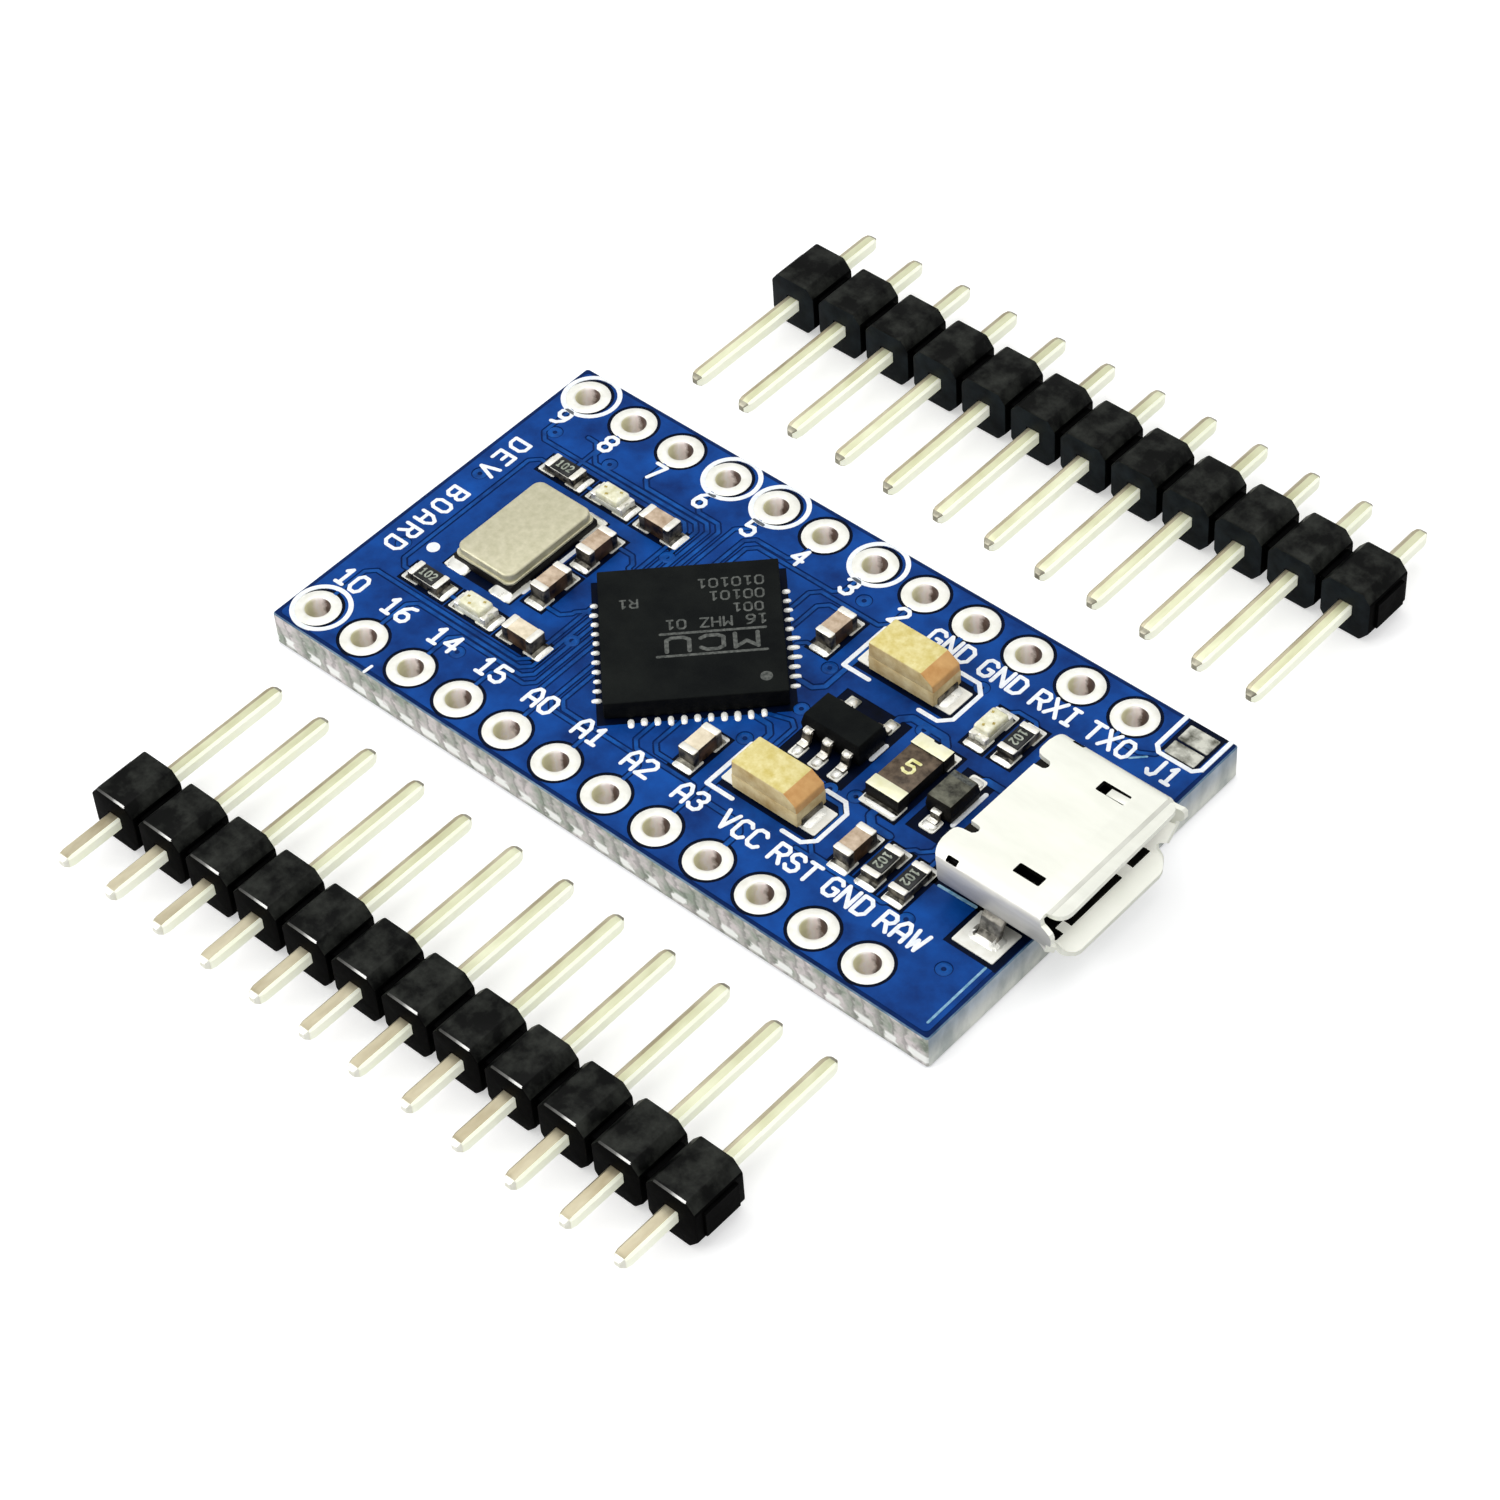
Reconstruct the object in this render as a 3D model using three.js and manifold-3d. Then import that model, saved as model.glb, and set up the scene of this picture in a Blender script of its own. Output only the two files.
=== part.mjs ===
// Microcontroller development board: a blue 33 x 17.8 mm circuit board with a
// micro-USB receptacle, and its two loose 12-pin header strips lying beside it.
// Millimetres, +Z up. Origin: centre of the board outline, on its underside.
// +X runs towards the USB end; the front strip lies on the -Y side, the back strip on +Y.
import * as THREE from 'three';
import { mergeVertices } from 'three/addons/utils/BufferGeometryUtils.js';
import Module from 'manifold-3d';

// ---------------------------------------------------------- shared dimensions
const BOARD = { length: 33.0, width: 17.8, thickness: 1.6, cornerR: 0.3, cornerSteps: 3 };
const TOP = BOARD.thickness;   // the parts stand on this level
const PITCH = 2.54;            // pad and pin pitch
const PIN_COUNT = 12;          // plated holes per side, and pins per strip
const OVERCUT = 1;             // how far cutters run past the faces they cut
const WELD = 1e-5;             // vertices closer than this are merged
const X_AXIS = [1, 0, 0];
const Y_AXIS = [0, 1, 0];

const MATERIALS = {
  mask: { color: 0x0b3f95, roughness: 0.35, metalness: 0.0 },
  steel: { color: 0xe9ebe4, roughness: 0.25, metalness: 0.9 },
  contact: { color: 0xd9b45a, roughness: 0.3, metalness: 1.0 },
  insulator: { color: 0x1b1c1e, roughness: 0.6, metalness: 0.0 },
  epoxy: { color: 0x1c1f21, roughness: 0.5, metalness: 0.0 },
  copper: { color: 0xc9c6b6, roughness: 0.4, metalness: 0.9 },
  ceramicBase: { color: 0x201e1c, roughness: 0.6, metalness: 0.0 },
  lid: { color: 0xd2c8a6, roughness: 0.3, metalness: 0.9 },
  capCream: { color: 0xd8c4a2, roughness: 0.5, metalness: 0.0 },
  capBrown: { color: 0x9c7b66, roughness: 0.5, metalness: 0.0 },
  resistor: { color: 0x1d1d20, roughness: 0.4, metalness: 0.0 },
  led: { color: 0xf1efdc, roughness: 0.3, metalness: 0.0 },
  tantalum: { color: 0xe6cf8d, roughness: 0.5, metalness: 0.0 },
  fuse: { color: 0x4a4036, roughness: 0.4, metalness: 0.0 },
  header: { color: 0x17181a, roughness: 0.45, metalness: 0.0 },
  pin: { color: 0xddd6b4, roughness: 0.25, metalness: 0.95 },
};

// -------------------------------------------------------------------- solids
const wasm = await Module();
wasm.setup();

function solid(geometry) {
  const bare = geometry.clone();
  bare.deleteAttribute('normal');
  bare.deleteAttribute('uv');
  const merged = mergeVertices(bare, WELD);
  return new wasm.Manifold(new wasm.Mesh({
    numProp: 3,
    vertProperties: new Float32Array(merged.attributes.position.array),
    triVerts: new Uint32Array(merged.index.array),
  }));
}

function geometryOf(manifold) {
  const mesh = manifold.getMesh();
  const indexed = new THREE.BufferGeometry();
  const positions = new Float32Array(mesh.vertProperties);
  indexed.setAttribute('position', new THREE.BufferAttribute(positions, 3));
  indexed.setIndex(Array.from(mesh.triVerts));
  const flat = indexed.toNonIndexed();
  flat.computeVertexNormals();
  return flat;
}

const union = (...parts) => parts.reduce((sum, part) => sum.add(part));

// a part together with its mirror image across the origin, along the given axis
const withMirror = (part, axis) => part.add(part.mirror(axis));

function box(x0, x1, y0, y1, z0, z1) {
  const geometry = new THREE.BoxGeometry(x1 - x0, y1 - y0, z1 - z0);
  geometry.translate((x0 + x1) / 2, (y0 + y1) / 2, (z0 + z1) / 2);
  return solid(geometry);
}

// box centred on the Z axis
const centredBox = (sizeX, sizeY, z0, z1) =>
  box(-sizeX / 2, sizeX / 2, -sizeY / 2, sizeY / 2, z0, z1);

function extrude(points, depth, holes = []) {
  const vectors = (list) => list.map(([u, v]) => new THREE.Vector2(u, v));
  const shape = new THREE.Shape(vectors(points));
  for (const hole of holes) shape.holes.push(new THREE.Path(vectors(hole)));
  return new THREE.ExtrudeGeometry(shape, { depth, bevelEnabled: false, curveSegments: 1 });
}

// profile in (x, y), raised along z
function prismZ(points, z0, z1, holes) {
  const geometry = extrude(points, z1 - z0, holes);
  geometry.translate(0, 0, z0);
  return solid(geometry);
}

// profile in (y, z), carried along x
function prismX(points, x0, x1) {
  const geometry = extrude(points, x1 - x0);
  geometry.applyMatrix4(new THREE.Matrix4().set(
    0, 0, 1, x0,
    1, 0, 0, 0,
    0, 1, 0, 0,
    0, 0, 0, 1));
  return solid(geometry);
}

// profile in (x, z), carried along y
function prismY(points, y0, y1) {
  const geometry = extrude(points, y1 - y0);
  geometry.applyMatrix4(new THREE.Matrix4().set(
    1, 0, 0, 0,
    0, 0, -1, y1,
    0, 1, 0, 0,
    0, 0, 0, 1));
  return solid(geometry);
}

// ------------------------------------------------------------------ outlines
function circle(centreX, centreY, radius, segments) {
  return Array.from({ length: segments }, (_, i) => {
    const angle = (i / segments) * Math.PI * 2;
    return [centreX + radius * Math.cos(angle), centreY + radius * Math.sin(angle)];
  });
}

// quarter circle counterclockwise from the start angle, both ends included
function quarterArc(centreX, centreY, radius, startAngle, steps) {
  return Array.from({ length: steps + 1 }, (_, i) => {
    const angle = startAngle + (i / steps) * Math.PI / 2;
    return [centreX + radius * Math.cos(angle), centreY + radius * Math.sin(angle)];
  });
}

// rectangle centred on the origin
function roundedRect(sizeX, sizeY, radius, steps) {
  const x = sizeX / 2 - radius;
  const y = sizeY / 2 - radius;
  return [
    ...quarterArc(x, -y, radius, -Math.PI / 2, steps),
    ...quarterArc(x, y, radius, 0, steps),
    ...quarterArc(-x, y, radius, Math.PI / 2, steps),
    ...quarterArc(-x, -y, radius, Math.PI, steps),
  ];
}

// closes a half outline, listed bottom to top, with its mirror image in the first coordinate
const symmetric = (half) => [...half, ...half.map(([u, v]) => [-u, v]).reverse()];

// -------------------------------------------------------------------- groups
const group = new THREE.Group();
const boardGroup = new THREE.Group();
const frontGroup = new THREE.Group();
const backGroup = new THREE.Group();
group.add(boardGroup, frontGroup, backGroup);

function addMesh(parent, name, manifold, look, position = [0, 0, 0]) {
  const material = new THREE.MeshStandardMaterial(MATERIALS[look]);
  const mesh = new THREE.Mesh(geometryOf(manifold), material);
  mesh.name = name;
  mesh.position.set(...position);
  parent.add(mesh);
}

// places a part that was built standing on z = 0
const addOnBoard = (name, manifold, look, x = 0, y = 0) =>
  addMesh(boardGroup, name, manifold, look, [x, y, TOP]);

// ---------------------------------------------------------------- bare board
function addBoard() {
  const rowCentreX = -1.3;
  const rowY = 7.62;   // row centre line from the board centre
  const firstX = rowCentreX - (PIN_COUNT - 1) / 2 * PITCH;
  const hole = { radius: 0.5, segments: 12 };
  const holes = [];
  for (let i = 0; i < PIN_COUNT; i++) {
    for (const side of [-1, 1]) {
      const ring = circle(firstX + i * PITCH, side * rowY, hole.radius, hole.segments);
      holes.push(ring.reverse());
    }
  }
  const outline = roundedRect(BOARD.length, BOARD.width, BOARD.cornerR, BOARD.cornerSteps);
  addMesh(boardGroup, 'pcb', prismZ(outline, 0, TOP, holes), 'mask');
}

// ------------------------------- main controller: body with a pad in its underside
function addController() {
  const centre = { x: -2.6, y: 0 };
  const body = { side: 7.0, height: 0.9 };
  const pad = { side: 5.2, height: 0.18 };
  const gap = { side: 0.06, top: 0.04 };   // pocket clearance around and above the pad
  const turnDegrees = 45;

  const place = (part) =>
    part.rotate([0, 0, turnDegrees]).translate([centre.x, centre.y, TOP]);
  const pocketSide = pad.side + 2 * gap.side;
  const pocket = centredBox(pocketSide, pocketSide, -OVERCUT, pad.height + gap.top);
  const shell = centredBox(body.side, body.side, 0, body.height).subtract(pocket);
  addMesh(boardGroup, 'mcu_package', place(shell), 'epoxy');
  addMesh(boardGroup, 'mcu_die_pad',
    place(centredBox(pad.side, pad.side, 0, pad.height)), 'copper');
}

// ------------------------------------------ crystal: base and two-tier lid
function addCrystal() {
  const centre = { x: -11.4, y: 0 };
  const size = { x: 3.1, y: 4.9 };
  const base = { height: 0.42, cornerR: 0.25, cornerSteps: 2 };
  const lidHeight = 0.46;
  const lowerTier = { inset: 0.05, cornerR: 0.45, height: lidHeight / 2 };
  const upperTier = { inset: lowerTier.inset + 0.12, cornerR: 0.4, height: lidHeight };
  const lidSteps = 3;

  const tier = ({ inset, cornerR, height }) => prismZ(
    roundedRect(size.x - 2 * inset, size.y - 2 * inset, cornerR, lidSteps),
    base.height, base.height + height);
  const baseOutline = roundedRect(size.x, size.y, base.cornerR, base.cornerSteps);
  addOnBoard('crystal_base', prismZ(baseOutline, 0, base.height),
    'ceramicBase', centre.x, centre.y);
  addOnBoard('crystal_lid', union(tier(lowerTier), tier(upperTier)), 'lid', centre.x, centre.y);
}

// ----------------------------------------- chip parts, built lying along X
function endBlocks(length, blockLength, width, height) {
  const block = box(length / 2 - blockLength, length / 2, -width / 2, width / 2, 0, height);
  return withMirror(block, X_AXIS);
}

// body with a cap over each end; the caps stand proud of it by `lip`
function chip({ length, width, height, cap, lip }) {
  const body = centredBox(length - 2 * lip, width - 2 * lip, 0, height - lip);
  return body.add(endBlocks(length, cap, width, height));
}

function led({ length, width }) {
  const baseHeight = 0.3;
  const lens = { length: 1.0, sideInset: 0.04, z0: 0.1, z1: 0.62 };
  return union(
    centredBox(length, width, 0, baseHeight),
    centredBox(lens.length, width - 2 * lens.sideInset, lens.z0, lens.z1));
}

const alongY = (part) => part.rotate([0, 0, 90]);

function addSmallParts() {
  const size = { length: 1.6, width: 0.8 };
  const ends = { cap: 0.32, lip: 0.03 };
  const capacitor = chip({ ...size, ...ends, height: 0.8 });
  const solids = {
    capCream: capacitor,
    capBrown: capacitor,
    resistor: chip({ ...size, ...ends, height: 0.5 }),
    led: led(size),
  };
  // name, material (which also picks the solid), axis it lies along, x, y
  const parts = [
    ['crystal_cap_a', 'capCream', 'y', -8.85, 1.35],
    ['crystal_cap_b', 'capCream', 'y', -8.85, -1.2],
    ['tx_resistor', 'resistor', 'x', -12.85, 3.8],
    ['tx_led', 'led', 'x', -10.3, 3.8],
    ['tx_cap', 'capBrown', 'x', -7.75, 3.8],
    ['rx_resistor', 'resistor', 'x', -12.85, -3.9],
    ['rx_led', 'led', 'x', -10.3, -3.9],
    ['rx_cap', 'capCream', 'x', -7.75, -3.9],
    ['mcu_cap_a', 'capBrown', 'y', 1.3, 3.85],
    ['mcu_cap_b', 'capCream', 'y', 1.3, -3.85],
    ['power_led', 'led', 'y', 8.95, 3.75],
    ['power_resistor', 'resistor', 'y', 10.22, 3.8],
    ['usb_cap', 'capBrown', 'y', 8.95, -3.95],
    ['usb_resistor_a', 'resistor', 'y', 10.22, -3.9],
    ['usb_resistor_b', 'resistor', 'y', 11.5, -3.9],
  ];
  for (const [name, look, axis, x, y] of parts) {
    const part = solids[look];
    addOnBoard(name, axis === 'y' ? alongY(part) : part, look, x, y);
  }
}

// ------------------------------------------------ moulded tantalum capacitors
function addTantalums() {
  const body = { length: 3.2, width: 1.6, z0: 0.1, z1: 1.55, endInset: 0.06 };
  const foot = { length: 0.45, width: 1.15, height: 0.85 };
  const half = body.width / 2;
  const profile = symmetric([
    [half, body.z0],
    [half, 0.75],
    [half - 0.04, body.z1 - 0.1],
    [half - 0.14, body.z1],
  ]);
  const reach = body.length / 2 - body.endInset;
  const part = union(
    prismX(profile, -reach, reach),
    endBlocks(body.length, foot.length, foot.width, foot.height));
  addOnBoard('tantalum_cap_in', part, 'tantalum', 5.0, 4.05);
  addOnBoard('tantalum_cap_out', part, 'tantalum', 5.0, -3.65);
}

// ------------------- regulator: three gull-wing legs on the -Y side, two on +Y
function addRegulator() {
  const centre = { x: 5.0, y: 0 };
  const body = { length: 2.9, width: 1.6, z0: 0.1, shoulderZ: 0.6, z1: 1.1, taper: 0.1 };
  const leg = { width: 0.4, thickness: 0.15, span: 2.8, foot: 0.4, pitch: 0.95, rootZ: 0.5 };

  const half = body.width / 2;
  const bodyProfile = symmetric([
    [half, body.z0],
    [half, body.shoulderZ],
    [half - body.taper, body.z1],
  ]);
  // +Y leg: foot on the board, riser, and a root that enters the body
  const toe = leg.span / 2;
  const heel = toe - leg.foot;
  const rootY = half - 0.2;
  const rootTop = leg.rootZ + leg.thickness;
  const legProfile = [
    [toe, leg.thickness], [heel + 0.09, leg.thickness],
    [half + 0.18, rootTop], [rootY, rootTop],
    [rootY, leg.rootZ], [half + 0.08, leg.rootZ],
    [heel, 0], [toe, 0],
  ];
  const legAt = (x) => prismX(legProfile, x - leg.width / 2, x + leg.width / 2);
  const part = union(
    prismX(bodyProfile, -body.length / 2, body.length / 2),
    withMirror(legAt(-leg.pitch), Y_AXIS),
    legAt(0).mirror(Y_AXIS),
    withMirror(legAt(leg.pitch), Y_AXIS));
  addOnBoard('regulator', part, 'epoxy', centre.x, centre.y);
}

// -------------------------------------------------------------- fuse and diode
function addFuse() {
  const part = chip({ length: 3.2, width: 1.6, height: 0.7, cap: 0.62, lip: 0.05 });
  addOnBoard('fuse', alongY(part), 'fuse', 8.2, 0);
}

function addDiode() {
  const body = { x: 1.25, y: 1.7, z0: 0.04, z1: 0.9 };
  const lead = { width: 0.7, span: 2.5, height: 0.14 };
  const part = union(
    centredBox(body.x, body.y, body.z0, body.z1),
    centredBox(lead.width, lead.span, 0, lead.height));
  addOnBoard('diode', part, 'epoxy', 10.2, 0.05);
}

// ------------------------------------------------------ micro-USB receptacle
const USB = {
  x0: 12.3, x1: 17.65,                   // sheet shell, rear edge to mouth
  halfTop: 3.75, halfBottom: 2.8,        // half widths
  shoulderZ: 1.05, height: 2.45,
  wall: 0.25, topR: 0.4, minTopR: 0.12, topSteps: 4,
  blockX0: 12.8, blockX1: 14.2, blockGap: 0.03,
  tongueX: 16.9, tongueHalf: 1.85, tongueZ0: 1.2, tongueZ1: 1.85,
};
const CONTACT = {
  count: 5, pitch: 0.65, width: 0.28, thickness: 0.15,
  tipX: 16.7, dropX: 12.4, tailX: 11.95,
  grooveGap: 0.04,
};
const contactY = (i) => (i - (CONTACT.count - 1) / 2) * CONTACT.pitch;

// shell cross-section in (y, z), shrunk by the inset
function usbProfile(inset) {
  const top = USB.height - inset;
  const half = USB.halfTop - inset;
  const radius = Math.max(USB.topR - inset, USB.minTopR);
  // the 0.55 and 0.25 shares keep the wall even along the sloping lower sides
  return symmetric([
    [USB.halfBottom - inset * 0.55, inset],
    [half, USB.shoulderZ + inset * 0.25],
    ...quarterArc(half - radius, top - radius, radius, 0, USB.topSteps),
  ]);
}

// lips and side ears flaring out at the mouth
function usbFlares() {
  const tipX = 18.0;
  const top = USB.height;
  const cutHalf = 4;   // wider than either lip
  // (x, z) sections
  const lowerSection = [
    [16.6, 0], [17.3, 0], [tipX - 0.08, -0.36],
    [tipX, -0.15], [17.4, 0.25], [16.6, 0.25],
  ];
  const upperSection = [
    [17.0, top - 0.25], [17.35, top - 0.25], [tipX, top - 0.15],
    [tipX, top + 0.09], [17.35, top], [17.0, top],
  ];
  // (x, y) outlines, -Y half
  const lowerPlan = [[16.55, -2.75], [17.2, -2.95], [17.65, -3.05], [17.9, -2.9], [18.05, -2.55]];
  const upperPlan = [[16.9, -3.3], [17.6, -3.35], [17.85, -3.2], [18.05, -2.7]];
  const lip = (section, plan) => {
    const outline = [...plan, ...plan.map(([x, y]) => [x, -y]).reverse()];
    return prismY(section, -cutHalf, cutHalf)
      .intersect(prismZ(outline, -OVERCUT, top + OVERCUT));
  };
  // (x, y) outline of the +Y ear
  const earPlan = [
    [17.1, 3.5], [17.4, 3.5], [17.95, 3.68],
    [17.88, 3.9], [17.4, 3.75], [17.1, 3.75],
  ];
  const ears = withMirror(prismZ(earPlan, 1.3, 2.0), Y_AXIS);
  return union(lip(lowerSection, lowerPlan), lip(upperSection, upperPlan), ears);
}

function usbShell() {
  const tab = { x0: 14.5, x1: 15.9, y0: 2.62, y1: 4.2, thickness: 0.2 };
  const recess = { x1: 12.6, half: 1.75 };
  const notch = { x1: 13.1, y1: 2.25, z0: 1.6, overlap: 0.01 };
  const latch = { x0: 15.2, x1: 16.4, y: 2.4, width: 0.5, z0: 1.9 };
  const rear = USB.x0 - OVERCUT;
  const above = USB.height + OVERCUT;

  const tabs = withMirror(box(tab.x0, tab.x1, tab.y0, tab.y1, 0, tab.thickness), Y_AXIS);
  const cavity = prismX(usbProfile(USB.wall), rear, USB.x1 + OVERCUT);
  // rear edge: recessed middle and one relief notch on each side of it
  const middle = box(rear, recess.x1, -recess.half, recess.half, -OVERCUT, above);
  const notches = withMirror(
    box(rear, notch.x1, recess.half - notch.overlap, notch.y1, notch.z0, above), Y_AXIS);
  // latch windows in the top
  const windows = withMirror(
    box(latch.x0, latch.x1, latch.y - latch.width / 2, latch.y + latch.width / 2,
      latch.z0, above), Y_AXIS);
  return union(prismX(usbProfile(0), USB.x0, USB.x1), usbFlares(), tabs)
    .subtract(cavity)
    .subtract(middle)
    .subtract(notches)
    .subtract(windows);
}

// block filling the rear of the shell, with the tongue and a groove for each contact
function usbInsulator() {
  const rootOverlap = 0.2;      // tongue root inside the block
  const grooveOverrun = 0.01;   // past the block's mouth-side face
  const grooveHalf = CONTACT.width / 2 + CONTACT.grooveGap;
  let block = union(
    prismX(usbProfile(USB.wall + USB.blockGap), USB.blockX0, USB.blockX1),
    box(USB.blockX1 - rootOverlap, USB.tongueX, -USB.tongueHalf, USB.tongueHalf,
      USB.tongueZ0, USB.tongueZ1));
  for (let i = 0; i < CONTACT.count; i++) {
    const y = contactY(i);
    block = block.subtract(box(USB.blockX0 - OVERCUT, USB.blockX1 + grooveOverrun,
      y - grooveHalf, y + grooveHalf, 0, USB.tongueZ0));
  }
  return block;
}

// blade under the tongue, drop behind the block, tail on the board
function usbContact(y) {
  const { tipX, dropX, tailX, thickness, width } = CONTACT;
  const top = USB.tongueZ0;
  const profile = [
    [tailX, 0], [dropX + thickness, 0],
    [dropX + thickness, top - thickness], [tipX, top - thickness],
    [tipX, top], [dropX, top],
    [dropX, thickness], [tailX, thickness],
  ];
  return prismY(profile, y - width / 2, y + width / 2);
}

function addUsb() {
  addOnBoard('usb_shell', usbShell(), 'steel');
  addOnBoard('usb_insulator', usbInsulator(), 'insulator');
  for (let i = 0; i < CONTACT.count; i++) {
    addOnBoard(`usb_contact_${i + 1}`, usbContact(contactY(i)), 'contact');
  }
}

// ------------------------------------------------------- loose header strips
// Each strip lies along X from its first pin, with the pins along Y.
const HOUSING = { depth: 2.45, height: 2.5 };   // depth is along the pins
const PIN = { side: 0.64, tipSide: 0.36, taper: 0.32, longReach: 6.0, shortReach: 2.7 };

// Seen along the pins: a row of octagons joined by short break-off webs.
function housing() {
  const unit = { half: 1.14, flatHalf: 0.74, chamferZ: 0.5 };
  const web = { halfY: 0.9, z0: 0.6, endX: PITCH / 2 };
  const boreSide = 0.66;
  const { depth, height } = HOUSING;

  const octagon = symmetric([
    [unit.flatHalf, 0],
    [unit.half, unit.chamferZ],
    [unit.half, height - unit.chamferZ],
    [unit.flatHalf, height],
  ]);
  const bore = centredBox(boreSide, depth + 2 * OVERCUT,
    (height - boreSide) / 2, (height + boreSide) / 2);
  let strip = box(-web.endX, (PIN_COUNT - 1) * PITCH + web.endX,
    -web.halfY, web.halfY, web.z0, height - web.z0);
  for (let i = 0; i < PIN_COUNT; i++) {
    const outline = octagon.map(([x, z]) => [x + i * PITCH, z]);
    strip = strip.add(prismY(outline, -depth / 2, depth / 2));
  }
  for (let i = 0; i < PIN_COUNT; i++) {
    strip = strip.subtract(bore.translate([i * PITCH, 0, 0]));
  }
  return strip;
}

// square pin with tapered tips; direction is the sign of Y its long side points to
function pin(direction) {
  const long = HOUSING.depth / 2 + PIN.longReach;
  const short = HOUSING.depth / 2 + PIN.shortReach;
  const y0 = direction > 0 ? -short : -long;
  const y1 = direction > 0 ? long : short;
  const square = (y, side) => {
    const r = side / 2;
    return [[-r, y, -r], [r, y, -r], [r, y, r], [-r, y, r]];
  };
  const rings = [
    square(y0, PIN.tipSide),
    square(y0 + PIN.taper, PIN.side),
    square(y1 - PIN.taper, PIN.side),
    square(y1, PIN.tipSide),
  ];
  const triangles = [0, 1, 2, 0, 2, 3, 12, 14, 13, 12, 15, 14];   // the two end faces
  for (let ring = 0; ring < rings.length - 1; ring++) {
    for (let j = 0; j < 4; j++) {
      const near = ring * 4 + j;
      const nearNext = ring * 4 + (j + 1) % 4;
      triangles.push(near, near + 4, nearNext, nearNext, near + 4, nearNext + 4);
    }
  }
  const positions = new Float32Array(rings.flat(2));
  const geometry = new THREE.BufferGeometry();
  geometry.setAttribute('position', new THREE.BufferAttribute(positions, 3));
  geometry.setIndex(triangles);
  return solid(geometry);
}

function addStrip(parent, label, { x, y, direction }) {
  parent.position.set(x, y, 0);
  addMesh(parent, `${label}_header_housing`, housing(), 'header');
  for (let i = 0; i < PIN_COUNT; i++) {
    const number = String(i + 1).padStart(2, '0');
    addMesh(parent, `${label}_pin_${number}`, pin(direction), 'pin',
      [i * PITCH, 0, HOUSING.height / 2]);
  }
}

// ------------------------------------------------------------------ assembly
addBoard();
addController();
addCrystal();
addSmallParts();
addTantalums();
addRegulator();
addFuse();
addDiode();
addUsb();
// the long pins of both strips point at the board
addStrip(frontGroup, 'front', { x: -13.52, y: -18.62, direction: 1 });
addStrip(backGroup, 'back', { x: -12.8, y: 18.55, direction: -1 });

export default group;
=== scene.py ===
"""A microcontroller board with a USB socket and two loose pin strips.

Millimetres in the numbers below, metres in the file. Origin: centre of the board outline, on its
underside. +X towards the USB mouth, +Z up. The pin strips lie on the table at -Y and +Y.
"""

import math
import random

import bmesh
import bpy
from mathutils import Matrix, Vector
from mathutils.geometry import delaunay_2d_cdt


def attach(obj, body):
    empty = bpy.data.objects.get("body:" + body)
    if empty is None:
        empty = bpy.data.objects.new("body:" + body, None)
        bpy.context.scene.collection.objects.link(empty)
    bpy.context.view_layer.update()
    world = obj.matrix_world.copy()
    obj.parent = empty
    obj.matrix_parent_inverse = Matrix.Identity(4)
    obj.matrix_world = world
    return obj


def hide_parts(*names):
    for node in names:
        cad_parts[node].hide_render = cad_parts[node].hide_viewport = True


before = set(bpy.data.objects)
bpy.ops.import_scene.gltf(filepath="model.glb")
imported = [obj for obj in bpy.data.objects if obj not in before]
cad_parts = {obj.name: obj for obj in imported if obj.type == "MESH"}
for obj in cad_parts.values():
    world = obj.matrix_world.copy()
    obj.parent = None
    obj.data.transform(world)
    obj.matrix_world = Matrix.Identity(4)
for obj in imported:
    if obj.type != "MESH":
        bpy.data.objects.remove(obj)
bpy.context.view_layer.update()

MM = 0.001
TOP = 1.6  # top face of the board
HALF_X, HALF_Y = 16.5, 8.9
PITCH, PAD_X0, ROW_Y = 2.54, -15.27, 7.62  # header holes: spacing, first column, row at -Y and +Y
PAD_R, HOLE_R = 0.94, 0.5
COPPER = 0.022  # how far masked copper stands up
PAD_T = 0.045
PADS = [(PAD_X0 + PITCH * i, side * ROW_Y) for side in (-1, 1) for i in range(12)]
MCU_X, MCU_Y, MCU_SIZE, MCU_TURN = -2.6, 0.0, 7.0, math.pi / 4
CRYSTAL_X = -11.4
CHIP_L, CHIP_W = 1.6, 0.8
STRIP_X0 = {"front": -13.52, "back": -12.8}  # first pin of each strip

# (bottom, top) of thin plates on the board
COPPER_LEVEL = (TOP - 0.004, TOP + COPPER)
INK_LEVEL = (TOP + COPPER - 0.004, TOP + COPPER + 0.014)
DEEP_INK = (INK_LEVEL[0] - 0.018, INK_LEVEL[1])  # reaches bare board beside the copper


# ---------------------------------------------------------------- shader nodes
def linear(rgb):
    """sRGB 0-255 as linear RGBA."""
    parts = [c / 255.0 for c in rgb]
    return (*[c / 12.92 if c <= 0.04045 else ((c + 0.055) / 1.055) ** 2.4 for c in parts], 1.0)


def empty_tree(owner):
    owner.use_nodes = True
    owner.node_tree.nodes.clear()
    return owner.node_tree


def node(tree, kind, inputs=(), **props):
    """Adds a node. inputs: {name or number: constant or socket}."""
    made = tree.nodes.new("ShaderNode" + kind)
    for key, value in props.items():
        setattr(made, key, value)
    for key, value in dict(inputs).items():
        if isinstance(value, bpy.types.NodeSocket):
            tree.links.new(value, made.inputs[key])
        else:
            made.inputs[key].default_value = value
    return made


def maths(tree, operation, *values):
    return node(tree, "Math", dict(enumerate(values)), operation=operation).outputs[0]


def remap(tree, value, from_min, from_max, to_min=0.0, to_max=1.0):
    ends = (value, from_min, from_max, to_min, to_max)
    return node(tree, "MapRange", dict(enumerate(ends))).outputs[0]


def mix(tree, factor, first, second, blend="MIX"):
    inputs = {0: factor, 6: first, 7: second}
    return node(tree, "Mix", inputs, data_type="RGBA", blend_type=blend).outputs[2]


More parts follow.
